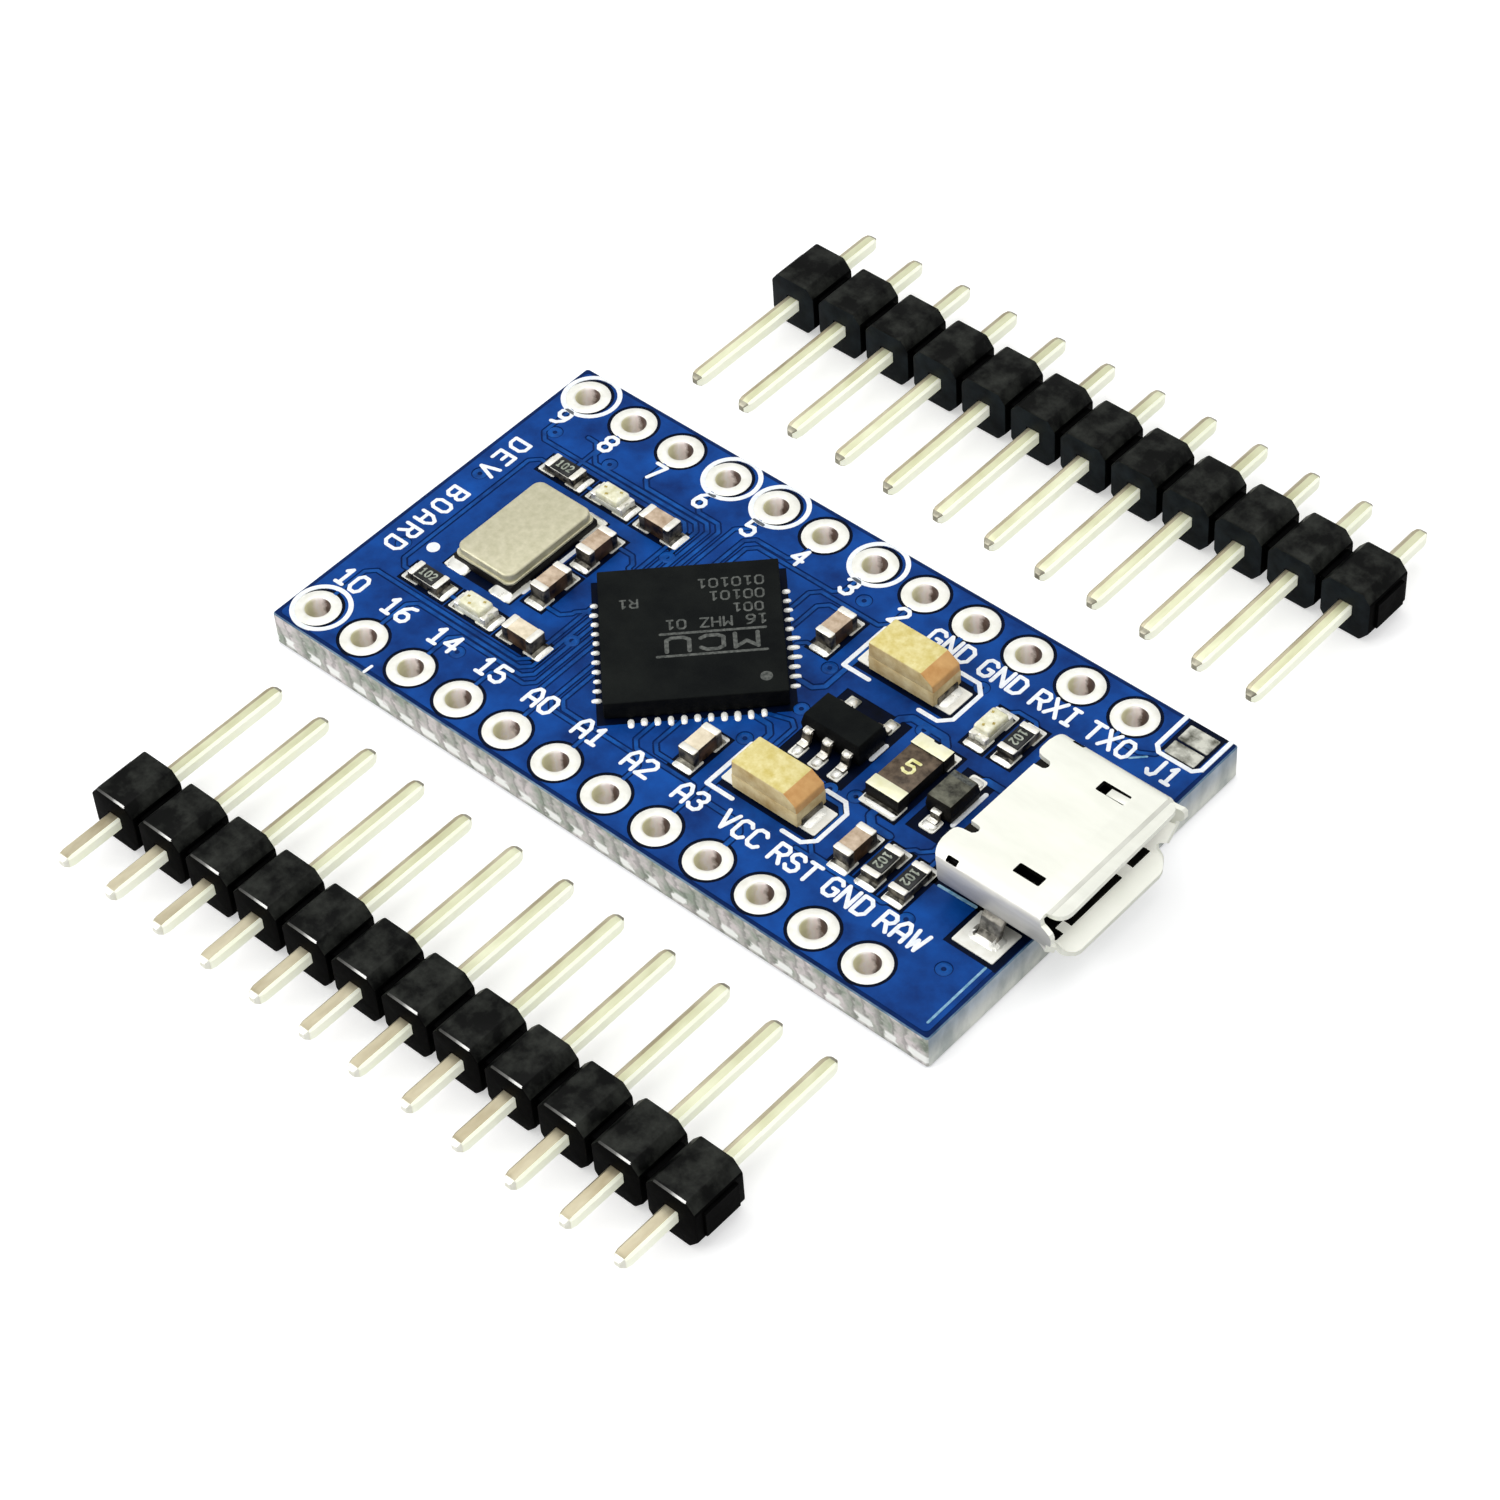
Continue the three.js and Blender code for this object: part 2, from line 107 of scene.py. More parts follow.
def colour_ramp(tree, factor, stops):
    """stops: (position, linear RGBA)."""
    ramp = node(tree, "ValToRGB", {0: factor})
    elements = ramp.color_ramp.elements
    while len(elements) < len(stops):
        elements.new(0.5)
    for element, (position, colour) in zip(elements, stops):
        element.position = position
        element.color = colour
    return ramp.outputs[0]


def noise_texture(tree, place, scale, stretch, **settings):
    """Noise in object space; scale is in cycles per millimetre."""
    size = [1000.0 * scale * s for s in stretch]
    mapping = node(tree, "Mapping", {"Vector": place, "Scale": size})
    inputs = {"Vector": mapping.outputs[0], "Scale": 1.0, **settings}
    return node(tree, "TexNoise", inputs).outputs["Fac"]


def material(name, low=None, high=None, *, scale, rough, metal=0.0, spec=0.5, bump=0.0,
             bump_scale=None, stretch=(1, 1, 1), detail=3.0, coat=0.0, spread=(0.3, 0.7),
             subsurface=0.0, glow=0.0, tint=None):
    """A surface whose colour, roughness and fine relief follow noise.

    low, high: sRGB at the two ends of spread. tint changes or replaces the noise colour.
    """
    made = bpy.data.materials.new(name)
    tree = empty_tree(made)
    place = node(tree, "TexCoord").outputs["Object"]
    noise = noise_texture(tree, place, scale, stretch, Detail=detail, Roughness=0.6)
    colour = None
    if low:
        colour = colour_ramp(tree, noise, list(zip(spread, (linear(low), linear(high)))))
    if tint:
        axes = node(tree, "SeparateXYZ", {0: place}).outputs
        colour = tint(tree, noise, axes, colour)
    inputs = {
        "Base Color": colour,
        "Metallic": metal,
        "Specular IOR Level": spec,
        "Coat Weight": coat,
        "Coat Roughness": 0.15,
        "Roughness": remap(tree, noise, 0.3, 0.7, *rough),
    }
    if subsurface:
        inputs["Subsurface Weight"] = subsurface
        inputs["Subsurface Radius"] = (0.0004, 0.0004, 0.0003)
        inputs["Subsurface Scale"] = 1.0
    if bump:
        relief = noise_texture(tree, place, bump_scale or scale * 3, stretch, Detail=4.0)
        raised = {"Strength": 1.0, "Distance": bump * MM, "Height": relief}
        inputs["Normal"] = node(tree, "Bump", raised).outputs[0]
    if glow:
        inputs["Emission Color"] = colour
        inputs["Emission Strength"] = glow
    surface = node(tree, "BsdfPrincipled", inputs)
    node(tree, "OutputMaterial", {0: surface.outputs[0]})
    return made


# Tints: each returns a function of (tree, noise, axes, colour) that gives a new colour.
def layered(stops, bottom, top, wobble):
    """Darkens by height, with an uneven edge. stops: (z, RGB factor)."""
    places = [((z - bottom) / (top - bottom), (*factor, 1)) for z, factor in stops]

    def tint(tree, noise, axes, colour):
        height = maths(tree, "MULTIPLY_ADD", noise, wobble * MM, axes["Z"])
        ends = (bottom + wobble / 2) * MM, (top + wobble / 2) * MM
        band = colour_ramp(tree, remap(tree, height, *ends), places)
        return mix(tree, 1.0, colour, band, "MULTIPLY")

    return tint


def woven(pitch, light, shade):
    """Cut glass cloth: low pale bundle ends, mottled resin above, a dark line at the bottom."""

    def tint(tree, noise, axes, colour):
        turn = maths(tree, "MULTIPLY", axes["X"], 2 * math.pi / (pitch * MM))
        lean = maths(tree, "MULTIPLY_ADD", axes["Z"], 700.0, turn)
        drift = maths(tree, "MULTIPLY_ADD", noise, 7.0, lean)
        dash = remap(tree, maths(tree, "SINE", drift), -0.3, 0.2)
        under = remap(tree, axes["Z"], 0.66 * MM, 0.54 * MM)
        over = remap(tree, axes["Z"], 0.14 * MM, 0.26 * MM)
        amount = maths(tree, "MULTIPLY", dash, maths(tree, "MULTIPLY", under, over))
        # darker resin between neighbouring bundles
        twice = maths(tree, "SINE", maths(tree, "MULTIPLY", drift, 2.0))
        gap = remap(tree, twice, -0.98, -0.3, 0.66, 1.0)
        resin = mix(tree, 1.0, colour, gap, "MULTIPLY")
        cloth = mix(tree, amount, resin, linear(light))
        line = remap(tree, axes["Z"], 0.09 * MM, 0.03 * MM)
        return mix(tree, line, cloth, linear(shade))

    return tint


def along_block(tree, axes, offset):
    """0 to 1 along X within each header pitch."""
    return maths(tree, "FRACT", maths(tree, "MULTIPLY_ADD", axes["X"], 1 / (PITCH * MM), offset))


def bore_painted_light(stops):
    """Painted light and shade on each header hole's wall, by its side, along +X +Y through its
    centre.
    """

    def tint(tree, noise, axes, _):
        part = along_block(tree, axes, 0.5 - PAD_X0 / PITCH)
        from_x = maths(tree, "MULTIPLY_ADD", part, PITCH, -PITCH / 2)
        away = maths(tree, "ABSOLUTE", axes["Y"])
        from_row = maths(tree, "MULTIPLY_ADD", away, 1 / MM, -ROW_Y)
        row = maths(tree, "SIGN", axes["Y"])
        diagonal = maths(tree, "MULTIPLY_ADD", from_row, row, from_x)
        side = maths(tree, "MULTIPLY_ADD", noise, 0.55, diagonal)
        place = remap(tree, side, -1.4 * HOLE_R + 0.27, 1.4 * HOLE_R + 0.27)
        return colour_ramp(tree, place, [(at, linear(rgb)) for at, rgb in stops])

    return tint


def glinting(start, stops):
    """Paints a highlight on an edge by how far along its block it is; start is the first block's -X
    side.
    """

    def tint(tree, noise, axes, _):
        part = along_block(tree, axes, -start / PITCH)
        side = maths(tree, "MULTIPLY_ADD", noise, 0.2, part)
        place = remap(tree, side, 0.1, 1.1)
        return colour_ramp(tree, place, [(at, linear(rgb)) for at, rgb in stops])

    return tint


# ---------------------------------------------------------------- materials
# board
# near-black painted shade, laid round the parts and round each header pad
MASK_PAINTED_SHADE = material("mask_painted_shade", (1, 6, 20), (2, 14, 42), scale=0.9, rough=(0.4, 0.5), spec=0.06)
MASK_BARE = material("mask_over_laminate", (1, 27, 72), (3, 40, 98), scale=0.9,
                     rough=(0.34, 0.46), spec=0.08, bump=0.004, bump_scale=6)
MASK_COPPER = material("mask_over_copper", (0, 40, 102), (8, 76, 160), scale=0.5,
                       rough=(0.34, 0.46), spec=0.12, bump=0.004, bump_scale=6, detail=5)
MASK_TRACE = material("mask_over_trace", (0, 50, 114), (12, 86, 168), scale=1.2,
                      rough=(0.34, 0.46), spec=0.14)
MASK_EDGE = material("mask_edge", (50, 86, 120), (120, 146, 166), scale=1.4,
                     rough=(0.45, 0.6), spec=0.2)
FR4 = material("cut_fibreglass", (150, 160, 146), (214, 206, 206), scale=1.3, rough=(0.5, 0.7),
               spec=0.3, stretch=(1, 1, 1.3), detail=5, bump=0.02, bump_scale=2.5,
               spread=(0.36, 0.62), tint=woven(1.27, light=(250, 251, 248), shade=(84, 88, 84)))
END_SHADE = [(0.4, (1.0, 0.96, 0.89)), (0.8, (0.8, 0.78, 0.76)), (1.3, (0.57, 0.61, 0.69))]
FR4_END = material("cut_fibreglass_end", (172, 183, 187), (234, 240, 239), scale=0.7,
                   rough=(0.5, 0.7), spec=0.3, stretch=(1, 1, 0.6), detail=5, bump=0.02,
                   bump_scale=2.5, spread=(0.35, 0.62),
                   tint=layered(END_SHADE, bottom=0.0, top=TOP, wobble=0.7))
PLATING = material("tin_plating", (240, 239, 228), (253, 253, 246), scale=2.2,
                   rough=(0.34, 0.5), metal=0.3, bump=0.01, bump_scale=3)
PLATING_DIM = material("tin_plating_shaded", (96, 96, 84), (214, 214, 202), scale=1.6,
                       rough=(0.34, 0.5), metal=0.6, bump=0.01, bump_scale=3, spread=(0.35, 0.6))
# barrel wall from its painted lit side to its painted shaded side; its glow is painted light too
BARREL_LIGHT_STOPS = [
    (0.0, (206, 204, 160)), (0.22, (222, 218, 184)), (0.45, (252, 244, 240)),
    (0.66, (236, 224, 224)), (0.82, (96, 78, 74)), (1.0, (58, 44, 44)),
]
BARREL = material("barrel_plating_painted_light", scale=2.2, rough=(0.3, 0.45), metal=0.2, glow=0.16,
                  bump=0.015, bump_scale=4, tint=bore_painted_light(BARREL_LIGHT_STOPS))
SOLDER = material("solder", (232, 231, 222), (252, 252, 246), scale=2.5, rough=(0.24, 0.42),
                  metal=0.6, bump=0.02, bump_scale=3)
SOLDER_DIM = material("solder_shaded", (26, 24, 20), (150, 146, 132), scale=2.0,
                      rough=(0.24, 0.42), metal=0.7, bump=0.02, bump_scale=3, spread=(0.38, 0.62))
# the print's faint glow is painted light
SILK = material("print_ink", (222, 229, 236), (248, 249, 250), scale=5, rough=(0.6, 0.75),
                spec=0.2, glow=0.04)
# white print dimmed to bluish grey as painted shade, used on the thin strokes
SILK_SHADED = material("print_ink_thin_painted_shade", (92, 144, 176), (150, 190, 212), scale=3,
                     rough=(0.6, 0.75), spec=0.2)
# USB socket
STEEL = material("tinned_sheet", (240, 241, 229), (250, 251, 240), scale=0.7, rough=(0.36, 0.46),
                 metal=0.4, stretch=(0.4, 1.4, 1.4), bump=0.003, bump_scale=3, detail=4)
# the lips' inner faces: a lit copy of the sheet with a glow, painted light
STEEL_LIT_LIP = material("tinned_lip_painted_light", (240, 241, 229), (252, 252, 242), scale=0.7,
                     rough=(0.36, 0.46), metal=0.2, glow=0.3)
# the sheet along the top lip's fold, darker as painted shade
STEEL_FOLD_SHADE = material("tinned_fold_painted_shade", (206, 206, 196), (226, 226, 216), scale=0.7,
                      rough=(0.36, 0.46), metal=0.4)
# side walls of the shell: a darker copy of the sheet, painted shade that deepens towards the bottom
SIDE_SHADE = [(TOP + z, (k, k, k)) for z, k in ((0.25, 0.06), (0.7, 0.22), (1.3, 0.62), (1.9, 1.0))]
STEEL_SHADED_SIDE = material("tinned_sheet_shaded_side", (214, 212, 206), (244, 242, 236), scale=0.7,
                      rough=(0.36, 0.46), metal=0.45, stretch=(0.3, 1.0, 1.6), bump=0.003,
                      bump_scale=3, detail=4,
                      tint=layered(SIDE_SHADE, bottom=TOP, top=TOP + 2.6, wobble=0.3))
# inside of the shell: near-black painted shade
STEEL_INSIDE_SHADE = material("tinned_sheet_inside_painted_shade", (8, 8, 6), (26, 25, 21), scale=1.5,
                      rough=(0.4, 0.55), metal=0.5, spec=0.2)
# the socket's feet: tin painted darker as shade
STEEL_SHADED_LEG = material("tinned_leg_painted_shade", (54, 52, 46), (150, 146, 136), scale=1.8, rough=(0.34, 0.5),
                      metal=0.7, spread=(0.38, 0.62))
GOLD = material("gold_flash", (214, 176, 92), (240, 206, 128), scale=3, rough=(0.2, 0.34),
                metal=1.0)
INSULATOR = material("insulator_black", (10, 10, 11), (22, 22, 23), scale=4, rough=(0.45, 0.6),
                     spec=0.2, bump=0.006)
# microcontroller and crystal
EPOXY = material("moulded_epoxy", (0, 3, 4), (22, 25, 23), scale=0.5, rough=(0.55, 0.72),
                 spec=0.09, bump=0.012, bump_scale=9, detail=8, spread=(0.34, 0.72))
# a darker copy of the epoxy for the sides: painted shade
EPOXY_SHADED_SIDE = material("moulded_epoxy_shaded_side", (3, 4, 4), (14, 15, 15), scale=2.0,
                      rough=(0.6, 0.75), spec=0.08, bump=0.01, bump_scale=9)
LASER = material("laser_mark", (48, 52, 50), (108, 110, 106), scale=6, rough=(0.7, 0.85),
                 spec=0.12, detail=5)
DIE_PAD = material("thermal_tin", (206, 204, 192), (236, 234, 222), scale=3, rough=(0.3, 0.4),
                   metal=0.8)
# solder on the package's lands, with a glow of painted light
LAND_PAINTED_LIGHT = material("package_land_painted_light", (240, 240, 232), (253, 253, 249), scale=4, rough=(0.3, 0.42),
                metal=0.25, glow=0.15)
CRYSTAL_LID = material("crystal_lid_gold", (196, 192, 160), (218, 213, 186), scale=3.2,
                       rough=(0.42, 0.52), metal=0.55, bump=0.004, bump_scale=8, detail=6)
DARK_CERAMIC = material("dark_ceramic", (10, 8, 7), (26, 22, 18), scale=3, rough=(0.5, 0.65),
                        spec=0.2)
# small chips
CAP_CREAM = material("cap_cream", (212, 198, 168), (242, 230, 206), scale=2.5,
                     rough=(0.4, 0.55), spec=0.35)
CAP_BROWN = material("cap_brown", (164, 140, 114), (212, 192, 168), scale=2.5,
                     rough=(0.4, 0.55), spec=0.35)
# capacitor sides painted nearly black as shade
CAP_SHADED_SIDE = material("cap_shaded_side", (22, 14, 8), (84, 62, 42), scale=1.8, rough=(0.45, 0.6),
                    spec=0.25, spread=(0.36, 0.66))
TIN = material("chip_termination", (236, 233, 220), (252, 250, 242), scale=3.5,
               rough=(0.3, 0.45), metal=0.45, bump=0.012, bump_scale=5)
# a dark copy of the tin for faces turned from the light: painted shade
TIN_SHADED = material("chip_termination_shaded_side", (22, 20, 16), (128, 120, 104), scale=2.4,
                    rough=(0.35, 0.5), metal=0.6, bump=0.012, bump_scale=5, spread=(0.4, 0.66))
FILM = material("resistor_film", (8, 9, 10), (24, 26, 26), scale=4, rough=(0.25, 0.4), spec=0.35)
ALUMINA = material("alumina", (178, 178, 168), (222, 222, 212), scale=4, rough=(0.5, 0.6),
                   spec=0.3)
MARK_WHITE = material("mark_white", (104, 112, 100), (184, 190, 176), scale=5,
                      rough=(0.5, 0.6), spec=0.2)
LED_BASE = material("led_base", (206, 206, 186), (240, 240, 226), scale=3, rough=(0.4, 0.5),
                    spec=0.35)
LED_LENS = material("led_lens", (208, 204, 160), (250, 249, 230), scale=2.4, rough=(0.2, 0.3),
                    spec=0.45, coat=0.3, subsurface=0.3)
LED_DIE = material("led_die", (150, 132, 60), (206, 186, 104), scale=6, rough=(0.4, 0.5),
                   metal=0.3)
# power parts
TANTALUM_TOP = material("tantalum_top", (206, 188, 104), (232, 222, 166), scale=2.6,
                        rough=(0.5, 0.62), spec=0.2, detail=5, bump=0.01, bump_scale=8)
# the tantalum body's sides, darker than its top as painted shade
TANTALUM_SHADED_SIDE = material("tantalum_shaded_side", (178, 148, 92), (226, 210, 164), scale=1.2,
                         rough=(0.5, 0.65), spec=0.2, detail=5, bump=0.01, bump_scale=8)
TANTALUM_BAND = material("tantalum_band", (196, 142, 82), (222, 176, 116), scale=1.4,
                         rough=(0.5, 0.65), spec=0.2, detail=5, bump=0.01, bump_scale=8)
FUSE_END = material("fuse_plating", (236, 234, 190), (252, 250, 226), scale=1.5,
                    rough=(0.35, 0.5), metal=0.35, bump=0.01, bump_scale=3)
FUSE_BODY = material("fuse_body", (44, 32, 20), (112, 96, 78), scale=2.6, rough=(0.32, 0.46),
                     spec=0.3)
FUSE_MARK = material("fuse_mark", (206, 200, 112), (244, 242, 196), scale=5, rough=(0.5, 0.6),
                     spec=0.2)
BLACK_SIDE = material("shaded_side", (8, 7, 5), (30, 27, 21), scale=2.0, rough=(0.5, 0.65),
                      spec=0.12)
DIODE_BODY = material("diode_epoxy", (34, 33, 28), (112, 112, 98), scale=2.6,
                      rough=(0.5, 0.65), spec=0.2, bump=0.014, bump_scale=8)
# pin strips
HEADER = material("header_plastic", (3, 4, 3), (50, 52, 48), scale=1.1, rough=(0.36, 0.5),
                  spec=0.09, bump=0.008, bump_scale=5, detail=7, spread=(0.42, 0.74))
# the strips' plastic painted black as shade on all but its top
HEADER_SHADED_SIDE = material("header_plastic_shaded_side", (0, 0, 0), (4, 4, 4), scale=1.4,
                       rough=(0.45, 0.6), spec=0.02, bump=0.006, bump_scale=5)
# lighter bluish plastic for the back strip's -Y faces: a painted reflection
HEADER_LIT_FRONT = material("header_plastic_front_painted_light", (2, 5, 8), (24, 30, 34), scale=1.4,
                        rough=(0.4, 0.55), spec=0.07, bump=0.008, bump_scale=5)
# painted highlight along the front strip's top edges
GLINT_STOPS = [
    (0.0, (12, 12, 11)), (0.3, (60, 60, 58)), (0.52, (110, 110, 107)),
    (0.66, (236, 236, 232)), (0.9, (250, 250, 246)), (1.0, (70, 70, 68)),
]
HEADER_GLINT_EDGE = material("header_plastic_edge_painted_glint", scale=1.1, rough=(0.3, 0.4), spec=0.3, detail=5,
                       tint=glinting(STRIP_X0["front"] - PITCH / 2, GLINT_STOPS))
# painted highlight on one strip of each pin's top
PIN_TOP_HIGHLIGHT = material("pin_plating_top_highlight", (218, 218, 176), (243, 245, 212), scale=0.9,
                   rough=(0.3, 0.45), metal=0.45, stretch=(1, 0.4, 1))
PIN = material("pin_plating", (172, 160, 130), (216, 208, 180), scale=0.9, rough=(0.3, 0.45),
               metal=0.7, stretch=(1, 0.4, 1))
# a lit, glowing copy of the plating for the pins' sides: painted light
PIN_LIT_SIDE = material("pin_plating_lit_side", (244, 247, 222), (253, 254, 240), scale=0.8,
                    rough=(0.4, 0.5), metal=0.15, stretch=(1, 0.4, 1), glow=0.22)
# the pins' tapered ends, darker as painted shade
PIN_END_SHADED = material("pin_end_painted_shade", (112, 108, 92), (196, 192, 172), scale=2, rough=(0.35, 0.45),
                   metal=0.5)
# bright tips as a painted highlight, on the front strip's short ends
PIN_TIP_LIT = material("pin_tip_painted_highlight", (238, 237, 220), (253, 252, 242), scale=3, rough=(0.35, 0.45),
                   metal=0.5)


def floor_material():
    """Lit normally, plus a glow only the camera sees, so that it reads as plain white paper."""
    camera_glow = 0.47
    made = bpy.data.materials.new("floor_paper")
    tree = empty_tree(made)
    paper = node(tree, "BsdfDiffuse", {"Color": linear((218, 218, 218))})
    seen = node(tree, "LightPath").outputs["Is Camera Ray"]
    glow = node(tree, "Emission", {"Strength": maths(tree, "MULTIPLY", seen, camera_glow)})
    both = node(tree, "AddShader", {0: paper.outputs[0], 1: glow.outputs[0]})
    node(tree, "OutputMaterial", {0: both.outputs[0]})
    return made


FLOOR = floor_material()


# ---------------------------------------------------------------- mesh building
class Shape:
    """Faces gathered in millimetres, each with a material number."""

    def __init__(self):
        self.verts, self.faces, self.mats = [], [], []

    def add(self, verts, faces, mat=0):
        """mat: one number, or a list with one per face."""
        first = len(self.verts)
        self.verts += [tuple(p) for p in verts]
        self.faces += [[first + i for i in face] for face in faces]
        self.mats += mat if isinstance(mat, list) else [mat] * len(faces)

    def add_bm(self, bm, mat=0, matrix=None):
        """mat may also be a function of the face, called before matrix is applied."""
        bm.verts.ensure_lookup_table()
        bm.normal_update()
        verts = [(matrix @ v.co if matrix else v.co.copy()) for v in bm.verts]
        index = {v: i for i, v in enumerate(bm.verts)}
        faces = [[index[v] for v in face.verts] for face in bm.faces]
        self.add(verts, faces, [mat(face) for face in bm.faces] if callable(mat) else mat)
        bm.free()


def build(shape, name, mats, replaces=None, body="board", angle=35.0):
    mesh = bpy.data.meshes.new(name)
    mesh.from_pydata([(x * MM, y * MM, z * MM) for x, y, z in shape.verts], [], shape.faces)
    for mat in mats:
        mesh.materials.append(mat)
    mesh.polygons.foreach_set("material_index", shape.mats)
    mesh.update()
    bm = bmesh.new()
    bm.from_mesh(mesh)
    bmesh.ops.remove_doubles(bm, verts=bm.verts, dist=2e-7)
    bmesh.ops.dissolve_degenerate(bm, dist=1e-7, edges=bm.edges)
    bmesh.ops.recalc_face_normals(bm, faces=bm.faces)
    bm.to_mesh(mesh)
    bm.free()
    mesh.polygons.foreach_set("use_smooth", [True] * len(mesh.polygons))
    mesh.set_sharp_from_angle(angle=math.radians(angle))
    mesh.update()
    made = bpy.data.objects.new(name, mesh)
    bpy.context.scene.collection.objects.link(made)
    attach(made, body)
    if replaces:
        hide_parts(replaces)


def top_and_shaded_sides(side, top=0):
    """Picks one material for what faces up and another, painted darker as shade, for the rest."""
    return lambda face: top if face.normal.z > 0.5 else side


def bevel(bm, edges, radius, steps):
    bmesh.ops.bevel(bm, geom=edges, offset=radius, offset_type="OFFSET", segments=steps,
                    profile=0.5, affect="EDGES", clamp_overlap=True)


def box(shape, base, size, radius, steps, mat=0, turn=0.0, taper=0.0):
    """A rounded box; base is the centre of its underside. taper shrinks the top on each side."""
    bm = bmesh.new()
    bmesh.ops.create_cube(bm, size=1.0)
    for vert in bm.verts:
        top = vert.co.z > 0
        vert.co.x *= size[0] - (2 * taper if top else 0)
        vert.co.y *= size[1] - (2 * taper if top else 0)
        vert.co.z = size[2] if top else 0.0
    if radius:
        bevel(bm, bm.edges[:], radius, steps)
    matrix = Matrix.Translation(Vector(base)) @ Matrix.Rotation(turn, 4, "Z")
    shape.add_bm(bm, mat, matrix)


# Place a prism's (a, b, c) on the board: a profile in X and Z pulled along Y, or in Y and Z
# pulled along X.
ALONG_Y = Matrix(((1, 0, 0, 0), (0, 0, 1, 0), (0, 1, 0, TOP), (0, 0, 0, 1)))
ALONG_X = Matrix(((0, 0, 1, 0), (1, 0, 0, 0), (0, 1, 0, TOP), (0, 0, 0, 1)))


def prism(shape, outline, z0, z1, radius=0.0, steps=2, mat=0, matrix=None, only=None):
    """outline (x, y) pulled from z0 to z1, its edges (or those only() accepts) rounded."""
    bm = bmesh.new()
    low = [bm.verts.new((x, y, z0)) for x, y in outline]
    high = [bm.verts.new((x, y, z1)) for x, y in outline]
    count = len(outline)
    bm.faces.new(low[::-1])
    bm.faces.new(high)
    for i in range(count):
        j = (i + 1) % count
        bm.faces.new((low[i], low[j], high[j], high[i]))
    bmesh.ops.recalc_face_normals(bm, faces=bm.faces[:])
    if radius:
        bevel(bm, [edge for edge in bm.edges if only is None or only(edge)], radius, steps)
    shape.add_bm(bm, mat, matrix)


def lathe(shape, profile, x, y, steps, mats=None):
    """A closed (radius, z) profile turned about a vertical axis. mats: one per profile edge."""
    count = len(profile)
    verts, faces = [], []
    for k in range(steps):
        a = 2 * math.pi * k / steps
        verts += [(x + r * math.cos(a), y + r * math.sin(a), z) for r, z in profile]
        here, there = k * count, (k + 1) % steps * count
        for i in range(count):
            j = (i + 1) % count
            faces.append((here + i, there + i, there + j, here + j))
    shape.add(verts, faces, mats * steps if mats else 0)


# ---------------------------------------------------------------- plane outlines
def circle(x, y, radius, steps):
    turns = [2 * math.pi * k / steps for k in range(steps)]
    return [(x + radius * math.cos(a), y + radius * math.sin(a)) for a in turns]


def capsule(start, end, radius, steps):
    """Outline of a stroke from start to end with round ends."""
    base = math.atan2(end[1] - start[1], end[0] - start[0])
    out = []
    for (x, y), quarter in ((end, -math.pi / 2), (start, math.pi / 2)):
        for k in range(steps + 1):
            a = base + quarter + math.pi * k / steps
            out.append((x + radius * math.cos(a), y + radius * math.sin(a)))
    return out


def seg_dist(spot, start, end):
    run_x, run_y = end[0] - start[0], end[1] - start[1]
    off_x, off_y = spot[0] - start[0], spot[1] - start[1]
    square = run_x * run_x + run_y * run_y
    part = 0.0 if square < 1e-12 else max(0.0, min(1.0, (off_x * run_x + off_y * run_y) / square))
    return math.hypot(off_x - part * run_x, off_y - part * run_y)


def rounded_rect(x0, y0, half_x, half_y, radius=0.0, steps=4, turn=0.0):
    if radius <= 0:
        points = [(half_x, half_y), (-half_x, half_y), (-half_x, -half_y), (half_x, -half_y)]
    else:
        points = []
        for sx, sy, first in ((1, 1, 0), (-1, 1, 90), (-1, -1, 180), (1, -1, 270)):
            for k in range(steps + 1):
                a = math.radians(first + 90.0 * k / steps)
                points.append((sx * (half_x - radius) + radius * math.cos(a),
                               sy * (half_y - radius) + radius * math.sin(a)))
    cos, sin = math.cos(turn), math.sin(turn)
    return [(x0 + x * cos - y * sin, y0 + x * sin + y * cos) for x, y in points]


def in_rect(spot, x0, y0, half_x, half_y, turn):
    cos, sin = math.cos(-turn), math.sin(-turn)
    x, y = spot[0] - x0, spot[1] - y0
    return abs(x * cos - y * sin) <= half_x and abs(x * sin + y * cos) <= half_y


def in_poly(spot, poly):
    x, y = spot
    inside = False
    for (xj, yj), (xi, yi) in zip(poly[-1:] + poly[:-1], poly):
        if (yi > y) != (yj > y) and x < (xj - xi) * (y - yi) / (yj - yi) + xi:
            inside = not inside
    return inside


def region(loops, inside, lines=()):
    """Triangles of the plane cut along every loop and line, kept where inside(centre) is true."""
    points, edges = [], []
    for loop in loops:
        first = len(points)
        points += [Vector(p) for p in loop]
        edges += [(first + i, first + (i + 1) % len(loop)) for i in range(len(loop))]
    for start, end in lines:
        edges.append((len(points), len(points) + 1))
        points += [Vector(start), Vector(end)]
    verts, _, tris, *_ = delaunay_2d_cdt(points, edges, [], 0, 1e-6)
    kept = []
    for tri in tris:
        if inside((sum(verts[i].x for i in tri) / 3, sum(verts[i].y for i in tri) / 3)):
            kept.append(tri)
    return [(p.x, p.y) for p in verts], kept


def renumber(tris):
    """The vertices the triangles use, and each one's place among them."""
    used = sorted({i for tri in tris for i in tri})
    return used, {i: k for k, i in enumerate(used)}


def slab(shape, loops, inside, level, mat=0):
    """region() as a closed plate. level: (bottom, top)."""
    flat, tris = region(loops, inside)
    used, at = renumber(tris)
    count = len(used)
    verts = [(*flat[i], z) for z in reversed(level) for i in used]
    edges = {pair: None for a, b, c in tris for pair in ((a, b), (b, c), (c, a))}
    faces = []
    for tri in tris:
        a, b, c = (at[i] for i in tri)
        faces += [(a, b, c), (count + c, count + b, count + a)]
    for a, b in edges:
        if (b, a) not in edges:
            faces.append((at[b], at[a], count + at[a], count + at[b]))
    shape.add(verts, faces, mat)


